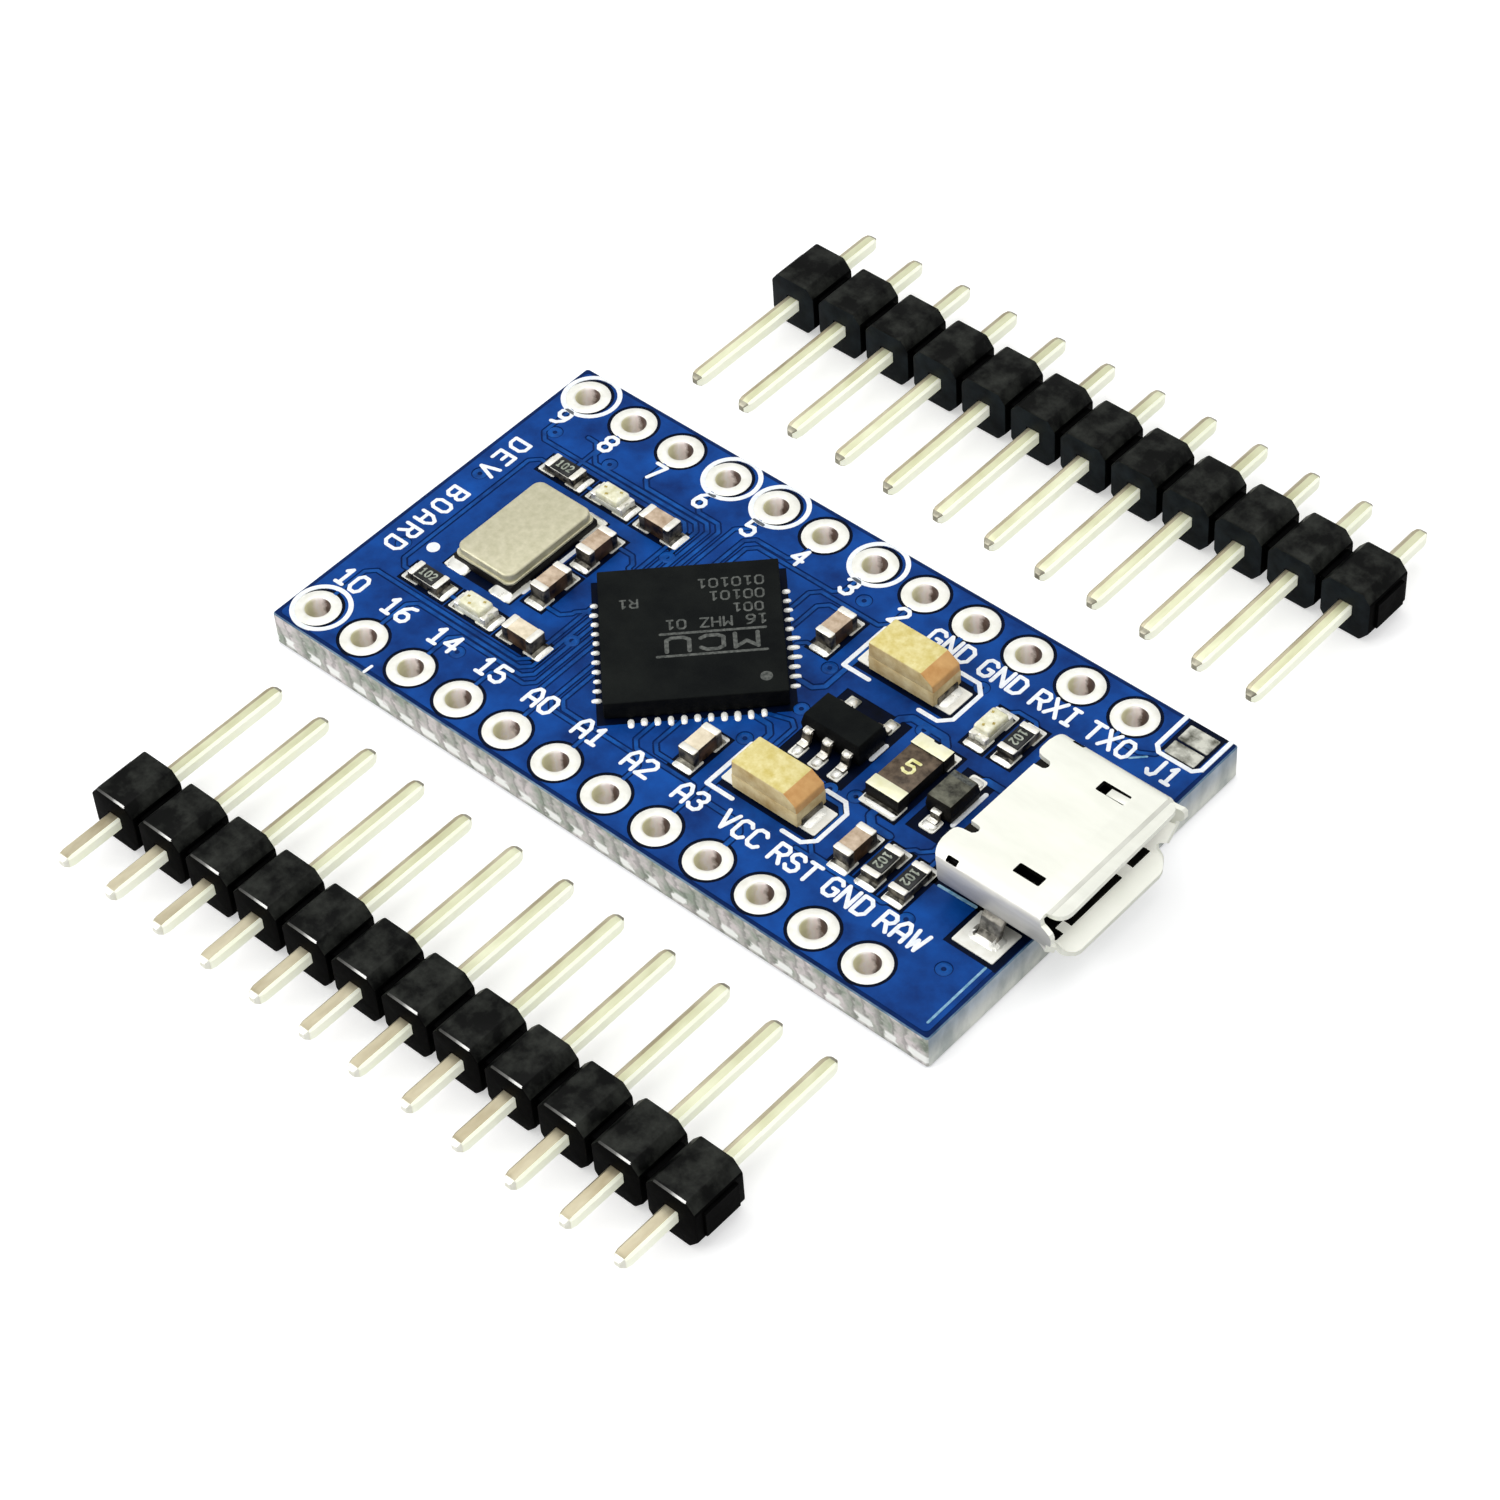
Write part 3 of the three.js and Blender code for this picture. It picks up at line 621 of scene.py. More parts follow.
def dot(shape, x, y, radius, level):
    inside = lambda spot: math.hypot(spot[0] - x, spot[1] - y) < radius
    slab(shape, [circle(x, y, radius, 28)], inside, level)


def strokes(shape, lines, width, level, mat=0):
    """Round-ended strokes joined into one plate."""
    segs = [pair for line in lines for pair in zip(line[:-1], line[1:])]
    reach = width / 2 * math.cos(math.pi / 12) * 0.995
    inside = lambda spot: any(seg_dist(spot, a, b) < reach for a, b in segs)
    slab(shape, [capsule(a, b, width / 2, 6) for a, b in segs], inside, level, mat)


# Strokes of each letter on a grid 4 wide and 6 high.
ROUND_O = [[(1, 0), (3, 0), (4, 1.2), (4, 4.8), (3, 6), (1, 6), (0, 4.8), (0, 1.2), (1, 0)]]
GLYPHS = {
    "0": ROUND_O,
    "1": [[(0.7, 4.7), (2, 6), (2, 0)], [(0.6, 0), (3.4, 0)]],
    "2": [[(0, 5), (1, 6), (3, 6), (4, 5), (4, 4), (0, 0), (4, 0)]],
    "3": [[(0, 5), (1, 6), (3, 6), (4, 5), (4, 4), (3, 3.1), (2, 3.1)],
          [(3, 3.1), (4, 2), (4, 1), (3, 0), (1, 0), (0, 1)]],
    "4": [[(3, 0), (3, 6), (0, 2), (4, 2)]],
    "5": [[(4, 6), (0.3, 6), (0, 3.2), (2.8, 3.7), (4, 2.6), (4, 1), (3, 0), (1, 0), (0, 0.8)]],
    "6": [[(3.8, 6), (2, 5.6), (0.4, 4), (0, 2.4), (0, 1), (1, 0), (3, 0), (4, 1), (4, 2.2),
           (3, 3.2), (1.2, 3.2), (0.1, 2.2)]],
    "7": [[(0, 6), (4, 6), (1.6, 0)]],
    "8": [[(1, 3.1), (0, 4.1), (0, 5), (1, 6), (3, 6), (4, 5), (4, 4.1), (3, 3.1), (1, 3.1),
           (0, 2), (0, 1), (1, 0), (3, 0), (4, 1), (4, 2), (3, 3.1)]],
    "9": [[(0.2, 0), (2, 0.4), (3.6, 2), (4, 3.6), (4, 5), (3, 6), (1, 6), (0, 5), (0, 3.8),
           (1, 2.8), (2.8, 2.8), (3.9, 3.8)]],
    "A": [[(0, 0), (0, 4), (1.4, 6), (2.6, 6), (4, 4), (4, 0)], [(0, 2.2), (4, 2.2)]],
    "B": [[(0, 0), (0, 6), (3, 6), (4, 5), (4, 4.1), (3, 3.1), (0, 3.1)],
          [(3, 3.1), (4, 2), (4, 1), (3, 0), (0, 0)]],
    "C": [[(4, 1), (3, 0), (1, 0), (0, 1), (0, 5), (1, 6), (3, 6), (4, 5)]],
    "D": [[(0, 0), (0, 6), (2.6, 6), (4, 4.7), (4, 1.3), (2.6, 0), (0, 0)]],
    "E": [[(4, 0), (0, 0), (0, 6), (4, 6)], [(0, 3.1), (3, 3.1)]],
    "G": [[(4, 5), (3, 6), (1, 6), (0, 5), (0, 1), (1, 0), (3, 0), (4, 1), (4, 2.8), (2.3, 2.8)]],
    "H": [[(0, 0), (0, 6)], [(4, 0), (4, 6)], [(0, 3.1), (4, 3.1)]],
    "I": [[(0.8, 0), (3.2, 0)], [(2, 0), (2, 6)], [(0.8, 6), (3.2, 6)]],
    "J": [[(0, 1.2), (1, 0), (2.2, 0), (3.2, 1.2), (3.2, 6)]],
    "M": [[(0, 0), (0, 6), (2, 3.4), (4, 6), (4, 0)]],
    "N": [[(0, 0), (0, 6), (4, 0), (4, 6)]],
    "O": ROUND_O,
    "R": [[(0, 0), (0, 6), (3, 6), (4, 5), (4, 3.8), (3, 2.8), (0, 2.8)], [(2, 2.8), (4, 0)]],
    "S": [[(0, 1), (1, 0), (3, 0), (4, 1), (4, 2.1), (3, 3.1), (1, 3.1), (0, 4), (0, 5), (1, 6),
           (3, 6), (4, 5)]],
    "T": [[(0, 6), (4, 6)], [(2, 6), (2, 0)]],
    "U": [[(0, 6), (0, 1), (1, 0), (3, 0), (4, 1), (4, 6)]],
    "V": [[(0, 6), (2, 0), (4, 6)]],
    "W": [[(0, 6), (0.9, 0), (2, 3.4), (3.1, 0), (4, 6)]],
    "X": [[(0, 0), (4, 6)], [(0, 6), (4, 0)]],
    "Z": [[(0, 6), (4, 6), (0, 0), (4, 0)]],
}


def text(shape, word, centre, size, level, mat=0, along=(1, 0), up=(0, 1)):
    """word in round strokes. size: letter height and width, advance, stroke width."""
    height, width, advance, stroke = size
    total = advance * (len(word) - 1) + width
    for k, letter in enumerate(word):
        if letter == " ":
            continue
        lines = []
        for line in GLYPHS[letter]:
            points = []
            for x, y in line:
                a = -total / 2 + advance * k + x / 4 * width
                b = (y / 6 - 0.5) * height
                points.append([centre[i] + along[i] * a + up[i] * b for i in (0, 1)])
            lines.append(points)
        strokes(shape, lines, stroke, level, mat)


def chamfered(path):
    """A right-angled track with its corners cut at 45 degrees."""
    cut = 0.35
    out = [path[0]]
    for before, corner, after in zip(path, path[1:], path[2:]):
        corner, before, after = Vector(corner), Vector(before), Vector(after)
        trim = min(cut, (before - corner).length * 0.45, (after - corner).length * 0.45)
        out.append(tuple(corner + (before - corner).normalized() * trim))
        out.append(tuple(corner + (after - corner).normalized() * trim))
    out.append(path[-1])
    return out


# ---------------------------------------------------------------- solder and pads
solder = Shape()
pads = Shape()


def pad(x, y, half_x, half_y, radius=0.06, thick=PAD_T, mat=0):
    outline = rounded_rect(x, y, half_x, half_y, radius, 3)
    prism(pads, outline, TOP, TOP + thick, mat=mat)


def fillet(x, y, out, width, length, height, mat=0, power=2.2, bulge=0.03, across=8, rows=7,
           dark=None):
    """Solder that climbs from a pad to a part. (x, y) is the foot of the part; out, outwards.

    dark: material of the upper slope, if it differs: a copy in painted shade.
    """
    verts = []
    for j in range(rows + 1):
        u = j / rows
        half = width / 2 * (1 - 0.35 * max(0.0, (u - 0.72) / 0.28) ** 2.5 * 0.6)
        climb = (height - PAD_T) * (1 - u) ** power
        for i in range(across + 1):
            t = 2 * i / across - 1
            z = PAD_T + climb * (1 - 0.3 * abs(t) ** 5) + bulge * (1 - t * t) * 4 * u * (1 - u)
            if j == rows:
                z = PAD_T * 0.5
            if abs(t) == 1:
                z = min(z, PAD_T * 0.6 + climb * 0.55)
            verts.append((x + out[0] * u * length - out[1] * half * t,
                          y + out[1] * u * length + out[0] * half * t, TOP + z))
    n = across + 1
    cells = [(j, i) for j in range(rows) for i in range(across)]
    faces = [(j * n + i, j * n + i + 1, (j + 1) * n + i + 1, (j + 1) * n + i) for j, i in cells]
    mats = [dark if dark is not None and j < rows * 0.4 else mat for j, _ in cells]
    # side walls and underside
    ring = list(range(n)) + [(j + 1) * n + across for j in range(rows)]
    ring += [rows * n + i for i in range(across - 1, -1, -1)]
    ring += [j * n for j in range(rows - 1, 0, -1)]
    low = len(verts)
    verts += [(verts[i][0], verts[i][1], TOP) for i in ring]
    count = len(ring)
    for i in range(count):
        j = (i + 1) % count
        faces.append((ring[i], ring[j], low + j, low + i))
    faces.append([low + i for i in range(count)][::-1])
    solder.add(verts, faces, mats + [mat] * (count + 1))


def blob(shape, x, y, out, length, width, height, z0=TOP, mat=0, soft=0.75):
    """A low dome of solder with its length along out, a little squarer than an oval."""
    around_n, rows = 12, 4
    verts, faces = [], []
    for j in range(rows):
        t = math.pi / 2 * j / rows
        for i in range(around_n):
            a = 2 * math.pi * i / around_n
            cos, sin = math.cos(a), math.sin(a)
            u = math.copysign(abs(cos) ** soft, cos) * length / 2 * math.cos(t)
            w = math.copysign(abs(sin) ** soft, sin) * width / 2 * math.cos(t)
            verts.append((x + out[0] * u - out[1] * w, y + out[1] * u + out[0] * w,
                          z0 + height * math.sin(t)))
    verts.append((x, y, z0 + height))
    for j in range(rows):
        low, high = j * around_n, (j + 1) * around_n
        for i in range(around_n):
            k = (i + 1) % around_n
            last = j == rows - 1
            faces.append((low + i, low + k, high) if last else (low + i, low + k, high + k, high + i))
    faces.append(list(range(around_n))[::-1])
    shape.add(verts, faces, mat)


rng = random.Random(7)

# name: x, y, long axis, kind
CHIPS = {
    "crystal_cap_a": (-8.85, 1.35, "y", "brown"),
    "crystal_cap_b": (-8.85, -1.2, "y", "brown"),
    "tx_resistor": (-12.85, 3.8, "x", "res"),
    "tx_led": (-10.3, 3.8, "x", "led"),
    "tx_cap": (-7.75, 3.8, "x", "brown"),
    "rx_resistor": (-12.85, -3.9, "x", "res"),
    "rx_led": (-10.3, -3.9, "x", "led"),
    "rx_cap": (-7.75, -3.9, "x", "cream"),
    "mcu_cap_a": (1.3, 3.85, "y", "brown"),
    "mcu_cap_b": (1.3, -3.85, "y", "cream"),
    "power_led": (8.95, 3.75, "y", "led"),
    "power_resistor": (10.22, 3.8, "y", "res"),
    "usb_cap": (8.95, -3.95, "y", "brown"),
    "usb_resistor_a": (10.22, -3.9, "y", "res"),
    "usb_resistor_b": (11.5, -3.9, "y", "res"),
}


# ---------------------------------------------------------------- bare board
def near_bore(spot, radius):
    i = max(0, min(11, round((spot[0] - PAD_X0) / PITCH)))
    y = ROW_Y if spot[1] > 0 else -ROW_Y
    return math.hypot(spot[0] - (PAD_X0 + PITCH * i), spot[1] - y) < radius


def laminate():
    edge = 0.05  # rounding of the outer edge
    outline = rounded_rect(0, 0, HALF_X, HALF_Y, 0.14, 6)
    inset = rounded_rect(0, 0, HALF_X - edge, HALF_Y - edge, 0.1, 6)
    bores = [circle(x, y, HOLE_R + 0.02, 36) for x, y in PADS]
    shape = Shape()
    inside = lambda spot: in_poly(spot, inset) and not near_bore(spot, HOLE_R + 0.015)
    flat, tris = region([inset] + bores, inside)
    used, at = renumber(tris)
    verts = [(*flat[i], z) for z in (TOP, 0.0) for i in used]
    faces = [tuple(at[i] for i in tri) for tri in tris]
    faces += [tuple(len(used) + at[i] for i in reversed(tri)) for tri in tris]
    shape.add(verts, faces, [1] * len(tris) + [2] * len(tris))
    # outer wall: mask on the two rounded edges, cut laminate between
    count = len(outline)
    at_end = [abs(x) > HALF_X - 0.02 for x, _ in outline]
    heights = ((inset, 0.0), (outline, edge), (outline, TOP - edge), (inset, TOP))
    rings = [[(x, y, z) for x, y in loop] for loop, z in heights]
    for k, (low, high) in enumerate(zip(rings[:-1], rings[1:])):
        faces, mats = [], []
        for i in range(count):
            j = (i + 1) % count
            faces.append((i, j, count + j, count + i))
            mats.append(3 if k != 1 else (4 if at_end[i] and at_end[j] else 0))
        shape.add(low + high, faces, mats)
    for bore in bores:
        count = len(bore)
        walls = [(i, count + i, count + (i + 1) % count, (i + 1) % count) for i in range(count)]
        shape.add([(x, y, z) for z in (0.0, TOP) for x, y in bore], walls)
    mats = [FR4, MASK_BARE, MASK_BARE, MASK_EDGE, FR4_END]
    build(shape, "board_laminate", mats, "pcb")


laminate()

# ---------------------------------------------------------------- track routes
# Directions of the package's four sides: +X+Y, -X+Y, -X-Y, +X-Y.
SIDES = [(math.cos(math.radians(a)), math.sin(math.radians(a))) for a in (45, 135, 225, 315)]


def land(k, j, reach=3.72):
    """Land j of 0 to 10 on side k, at a distance reach from the package centre."""
    out_x, out_y = SIDES[k]
    step = (j - 5) * 0.5
    return (MCU_X + out_x * reach - out_y * step, MCU_Y + out_y * reach + out_x * step)


def even_land(half, end, j):
    """land() mirrored in Y. half: -1 or 1 for -Y or +Y; end: -1 or 1 for -X or +X."""
    if half < 0:
        return land(2 if end < 0 else 3, j)
    return land(1 if end < 0 else 0, 10 - j)


def pad_x(i):
    return PAD_X0 + PITCH * i


ROUTES = []  # (width, corner points)


def to_pad(start, half, level, column):
    """Track from a land along y = level to the header pad in a column."""
    x = pad_x(column)
    path = [start, (start[0], half * level), (x, half * level), (x, half * 6.83)]
    ROUTES.append((0.15, path))


for column, level in enumerate((4.72, 4.98, 5.24, 5.5)):
    for half in (-1, 1):
        to_pad(even_land(half, -1, column), half, level, column)
for half in (-1, 1):
    to_pad(even_land(half, -1, 4), half, 5.9, 4)
    to_pad(even_land(half, -1, 6), half, 5.78, 5)
    to_pad(even_land(half, -1, 7), half, 5.5, 6)
    to_pad(even_land(half, 1, 2), half, 5.24, 7)
    for j, level, end in ((4, 4.9, 1.0), (6, 2.85, 1.2)):
        x, y = even_land(half, 1, j)
        ROUTES.append((0.15, [(x, y), (x, half * level), (end, half * level)]))
    x, y = even_land(half, 1, 9)
    path = [(x, y), (2.7, y), (2.7, half * 5.55), (pad_x(8), half * 5.55), (pad_x(8), half * 6.83)]
    ROUTES.append((0.2, path))
ROUTES += [
    (0.15, [land(1, 9), (-7.35, land(1, 9)[1]), (-7.35, 2.1), (-8.6, 2.1)]),
    (0.15, [land(2, 1), (-7.35, land(2, 1)[1]), (-7.35, -2.0), (-8.6, -2.0)]),
    (0.15, [(11.9, -0.65), (11.5, -0.65), (11.5, -3.1)]),
    (0.15, [(11.9, -1.3), (11.1, -1.3), (11.1, -2.5), (10.3, -2.5), (10.3, -3.1)]),
    (0.15, [(10.22, -4.6), (10.22, -5.0), (7.4, -5.0), (7.4, -2.6), (3.2, -2.6), (3.2, -0.4),
            land(3, 10)]),
    (0.15, [(11.5, -4.6), (11.5, -5.15), (7.1, -5.15)]),
    (0.3, [(5.95, 1.3), (5.95, 2.4), (8.2, 2.4), (8.2, 1.5)]),
    (0.3, [(8.2, -1.6), (8.2, -2.6), (9.4, -2.6)]),
    (0.3, [(10.2, 1.2), (10.2, 1.7), (11.9, 1.7)]),
    (0.15, [(10.22, 4.6), (10.22, 5.1), (8.95, 5.1), (8.95, 4.6)]),
    (0.15, [(-12.85, 4.3), (-12.85, 5.9), (pad_x(1) - 0.9, 5.9)]),
    (0.15, [(-13.65, 3.8), (-14.6, 3.8), (-14.6, -3.9), (-13.65, -3.9)]),
    (0.15, [(-11.9, 3.8), (-11.2, 3.8)]),
    (0.15, [(-11.9, -3.9), (-11.2, -3.9)]),
    (0.15, [(pad_x(11), 6.7), (pad_x(11), 6.3), (14.2, 6.3), (14.7, 7.2)]),
]


def segments(routes):
    """(width, start, end) of every straight run, corners cut."""
    paths = [(width, chamfered(path)) for width, path in routes]
    return [(width, a, b) for width, path in paths for a, b in zip(path[:-1], path[1:])]


VIAS = [
    (-15.6, 1.7), (-15.2, -3.0), (-11.9, 5.3), (-6.6, 2.9), (-6.4, -2.7), (2.75, 0.15),
    (2.2, 2.4), (2.1, -2.3), (7.0, 2.2), (7.2, -1.9), (12.0, 2.6), (12.4, -5.2), (7.3, 5.2),
    (-9.4, -5.9), (0.9, 5.9), (14.9, -6.1), (-14.9, 5.3), (6.2, -2.2),
]
# Windows in the top copper, also where painted shade is laid: centre x, y, half sizes, turn.
WINDOWS = [(MCU_X, MCU_Y, 3.78, 3.78, MCU_TURN)]
WINDOWS += [(x, y, *((1.25, 0.6) if axis == "x" else (0.6, 1.25)), 0.0)
            for x, y, axis, _ in CHIPS.values()]
WINDOWS += [
    (CRYSTAL_X, 0, 1.85, 2.85, 0.0), (5.0, 4.05, 2.42, 0.98, 0.0), (5.0, -3.65, 2.42, 0.98, 0.0),
    (13.2, -2.75, 1.35, 0.55, 0.0), (5.0, 0, 1.6, 2.05, 0.0), (8.2, 0, 1.0, 2.1, 0.0),
    (10.2, 0, 0.75, 1.8, 0.0), (15.2, 7.8, 0.85, 1.05, 0.0), (15.2, -4.05, 1.2, 1.05, 0.0),
    (15.2, 4.05, 1.2, 1.05, 0.0),
]


# ---------------------------------------------------------------- copper under the mask
def copper_pour(name, pad_gap, via_gap, windows, segs, gap, level):
    """Copper over the whole board, kept clear of circles, windows and tracks."""
    edge = rounded_rect(0, 0, HALF_X - 0.22, HALF_Y - 0.22, 0.2, 4)
    rounds = [(x, y, pad_gap) for x, y in PADS] + [(x, y, via_gap) for x, y in VIAS]

    def inside(spot):
        if not in_poly(spot, edge) or any(in_rect(spot, *window) for window in windows):
            return False
        if any(math.hypot(spot[0] - x, spot[1] - y) < r * 0.995 for x, y, r in rounds):
            return False
        return not any(seg_dist(spot, a, b) < (width / 2 + gap) * 0.98 for width, a, b in segs)

    loops = [edge] + [circle(x, y, r, 28) for x, y, r in rounds]
    loops += [rounded_rect(*window[:4], 0, 1, window[4]) for window in windows]
    loops += [capsule(a, b, width / 2 + gap, 3) for width, a, b in segs]
    shape = Shape()
    slab(shape, loops, inside, level)
    build(shape, name, [MASK_COPPER])


def copper_tracks(name, segs, level, face, way):
    """Tracks, and a ring round each via on the face at z = face; way is 1 up or -1 down."""
    # via ring: radius, height above the face
    ring = [(0.1, -0.01), (0.1, 0.012), (0.16, COPPER + 0.008), (0.27, COPPER + 0.004),
            (0.31, 0), (0.31, -0.01)]
    shape = Shape()
    inside = lambda spot: any(seg_dist(spot, a, b) < width / 2 * 0.985 for width, a, b in segs)
    slab(shape, [capsule(a, b, width / 2, 4) for width, a, b in segs], inside, level)
    for x, y in VIAS:
        lathe(shape, [(r, face + way * height) for r, height in ring], x, y, 20)
    build(shape, name, [MASK_TRACE])


# Thin plates of painted shade round every part and in a ring round each header pad.
def painted_shade_patches():
    shape = Shape()
    for x, y, half_x, half_y, turn in WINDOWS:
        outline = rounded_rect(x, y, half_x + 0.01, half_y + 0.01, 0.04, 2, turn)
        prism(shape, outline, TOP - 0.004, TOP + 0.006)
    low, high = TOP - 0.004, TOP + 0.0065
    for x, y in PADS:
        lathe(shape, [(0.62, low), (1.085, low), (1.085, high), (0.62, high)], x, y, 32)
    build(shape, "painted_shade_patches", [MASK_PAINTED_SHADE])


segs = segments(ROUTES)
copper_pour("copper_pour_top", 1.08, 0.35, WINDOWS, segs, 0.075, COPPER_LEVEL)
painted_shade_patches()
copper_tracks("copper_tracks_top", segs, COPPER_LEVEL, TOP, 1)

low_routes = []
for i in range(0, 11, 2):
    x, y = pad_x(i), -5.6 + 0.35 * (i % 4)
    low_routes.append((0.2, [(x, -6.9), (x, y), (x + 1.6, y), (x + 1.6, 4.4)]))
segs = segments(low_routes)
copper_pour("copper_pour_bottom", 1.12, 0.42, [], segs, 0.16, (-COPPER, 0.004))
copper_tracks("copper_tracks_bottom", segs, (-COPPER, 0.004), 0, -1)


def plated_holes():
    bore, inner, rise = HOLE_R + 0.02, HOLE_R - 0.015, TOP + PAD_T
    upper = [  # radius, z, from the barrel out over the pad and back under it
        (inner, TOP - 0.05), (inner + 0.03, rise - 0.01), (inner + 0.08, rise + 0.012),
        (0.62, rise + 0.022), (0.78, rise + 0.012), (PAD_R - 0.05, rise - 0.012),
        (PAD_R, TOP + 0.012), (PAD_R, TOP - 0.002), (bore, TOP - 0.002),
    ]
    lower = [(r, TOP - z) for r, z in reversed(upper)]
    profile = lower[-1:] + upper + lower[:-1]
    mats = [1, 1] + [0] * 7 + [1] + [0] * 7 + [1]
    shape = Shape()
    for x, y in PADS:
        lathe(shape, profile, x, y, 44, mats)
    build(shape, "plated_holes", [PLATING, BARREL], angle=50)


plated_holes()


# ---------------------------------------------------------------- white print
def top_print():
    shape = Shape()
    label = (0.85, 0.5, 0.72, 0.165)
    upper = ["9", "8", "7", "6", "5", "4", "3", "2", "GND", "GND", "RXI", "TXO"]
    lower = ["10", "16", "14", "15", "A0", "A1", "A2", "A3", "VCC", "RST", "GND", "RAW"]
    for i in range(12):
        text(shape, upper[i], (pad_x(i), 6.12), label, INK_LEVEL)
        text(shape, lower[i], (pad_x(i), -5.72), label, INK_LEVEL)
    text(shape, "J1", (15.17, 6.12), (0.85, 0.46, 0.7, 0.165), INK_LEVEL)
    text(shape, "DEV BOARD", (-15.47, 0.3), (0.8, 0.5, 0.88, 0.155), INK_LEVEL,
         along=(0, -1), up=(1, 0))
    # rings round some pads, a little off centre, cut at the board edge
    edge = rounded_rect(0, 0, HALF_X - 0.07, HALF_Y - 0.07, 0.25, 4)
    for i, side in ((0, 1), (3, 1), (4, 1), (6, 1), (0, -1)):
        x, y = pad_x(i) + 0.116, side * ROW_Y + 0.093
        inside = lambda spot: (1.05 <= math.hypot(spot[0] - x, spot[1] - y) < 1.247
                               and in_poly(spot, edge))
        slab(shape, [circle(x, y, 1.25, 48), circle(x, y, 1.05, 48), edge], inside, DEEP_INK)
    strokes(shape, [[(-11.43, -8.88), (-11.41, -8.5)]], 0.13, INK_LEVEL)
    lines = [
        [(14.15, 8.83), (14.15, 7.05), (14.42, 6.78), (15.95, 6.78), (16.2, 7.05), (16.2, 8.83)],
        [(6.45, -0.15), (6.45, 0.7)],
        [(10.85, -0.75), (10.85, 1.15)],
        [(-9.62, -2.0), (-9.62, 2.0)],
    ]
    # brackets round the two tantalum capacitors
    for y0, y1 in ((2.85, 5.3), (-4.85, -2.35)):
        lines.append([(3.5, y1), (2.5, y1), (2.5, y0), (3.75, y0)])
        lines.append([(6.2, y1), (7.1, y1), (7.52, y1 - 0.42), (7.52, y0 + 0.42), (7.1, y0),
                      (6.2, y0)])
    for line in lines:
        strokes(shape, [line], 0.19, DEEP_INK)
    dot(shape, -14.1, -2.45, 0.27, DEEP_INK)
    # thin strokes in the painted-shade print colour
    for line, width in (
        ([(16.02, -8.3), (16.02, -5.15)], 0.1),
        ([(13.77, 5.87), (14.23, 6.33)], 0.09),
        ([(12.3, -3.26), (13.97, -3.2)], 0.12),
    ):
        strokes(shape, [line], width, DEEP_INK, 1)
    build(shape, "print_top", [SILK, SILK_SHADED])


def bottom_print():
    shape = Shape()
    for i in range(12):
        for y in (6.25, -6.25):
            line = [(pad_x(i) - 0.5, y), (pad_x(i) + 0.5, y)]
            strokes(shape, [line], 0.16, (-COPPER - 0.012, -COPPER + 0.004))
    build(shape, "print_bottom", [SILK])


top_print()
bottom_print()


# ---------------------------------------------------------------- small chips
def capacitor(name, x, y, along, turn, lean, kind):
    shape = Shape()
    size = (CHIP_L - 0.5, CHIP_W - 0.05, 0.74)
    box(shape, (x, y, TOP + 0.035), size, 0.04, 2, top_and_shaded_sides(2), turn + lean)
    for end in (-0.63, 0.63):
        base = (x + end * along[0], y + end * along[1], TOP + 0.02)
        box(shape, base, (0.34, CHIP_W, 0.78), 0.075, 3, top_and_shaded_sides(3, 1), turn + lean)
    colour = CAP_BROWN if kind == "brown" else CAP_CREAM
    build(shape, name, [colour, TIN, CAP_SHADED_SIDE, TIN_SHADED], name)


def resistor(name, x, y, along, turn, lean, kind):
    shape = Shape()
    box(shape, (x, y, TOP + 0.03), (1.52, 0.78, 0.38), 0.03, 2, top_and_shaded_sides(4), turn + lean)
    box(shape, (x, y, TOP + 0.40), (0.98, 0.72, 0.075), 0.03, 2, 1, turn + lean)
    for end in (-0.65, 0.65):
        base = (x + end * along[0], y + end * along[1], TOP + 0.02)
        box(shape, base, (0.3, CHIP_W, 0.45), 0.06, 3, top_and_shaded_sides(4, 2), turn + lean)
    # on a chip along Y the mark reads towards -Y
    reading, up = ((1, 0), (0, 1)) if turn == 0 else ((0, -1), (1, 0))
    level = (TOP + 0.468, TOP + 0.482)
    text(shape, "102", (x, y), (0.34, 0.16, 0.27, 0.07), level, 3, reading, up)
    build(shape, name, [ALUMINA, FILM, TIN, MARK_WHITE, TIN_SHADED], name)


def led(name, x, y, along, turn, lean, kind):
    ux, uy = along
    shape = Shape()
    box(shape, (x, y, TOP + 0.02), (CHIP_L, CHIP_W, 0.28), 0.035, 2, 0, turn + lean)
    box(shape, (x, y, TOP + 0.27), (1.26, CHIP_W, 0.36), 0.09, 3, 1, turn + lean, taper=0.04)
    box(shape, (x, y, TOP + 0.29), (0.3, 0.3, 0.12), 0.02, 1, 3, turn + lean)
    for a, b in ((0.34, 0.18), (-0.1, -0.22), (-0.38, 0.05)):
        base = (x + a * ux - b * uy, y + a * uy + b * ux, TOP + 0.62)
        box(shape, base, (0.12, 0.1, 0.015), 0.0, 1, 3, turn + 0.4)
    # the two end contacts, each with its half-round notch
    turns = [math.radians(a) for a in range(0, 181, 30)]
    notch = [(0.27 - 0.13 * math.sin(a), -0.13 * math.cos(a)) for a in turns]
    half = CHIP_W / 2
    contact = [(0.0, -half), (0.27, -half)] + notch + [(0.27, half), (0.0, half)]
    for e in (-1, 1):
        outline = [(x + (e * (0.56 + a) * ux - b * uy * e), y + (e * (0.56 + a) * uy + b * ux * e))
                   for a, b in contact]
        prism(shape, outline, TOP + 0.01, TOP + 0.4, 0.03, 1, 2)
    build(shape, name, [LED_BASE, LED_LENS, TIN, LED_DIE], name)


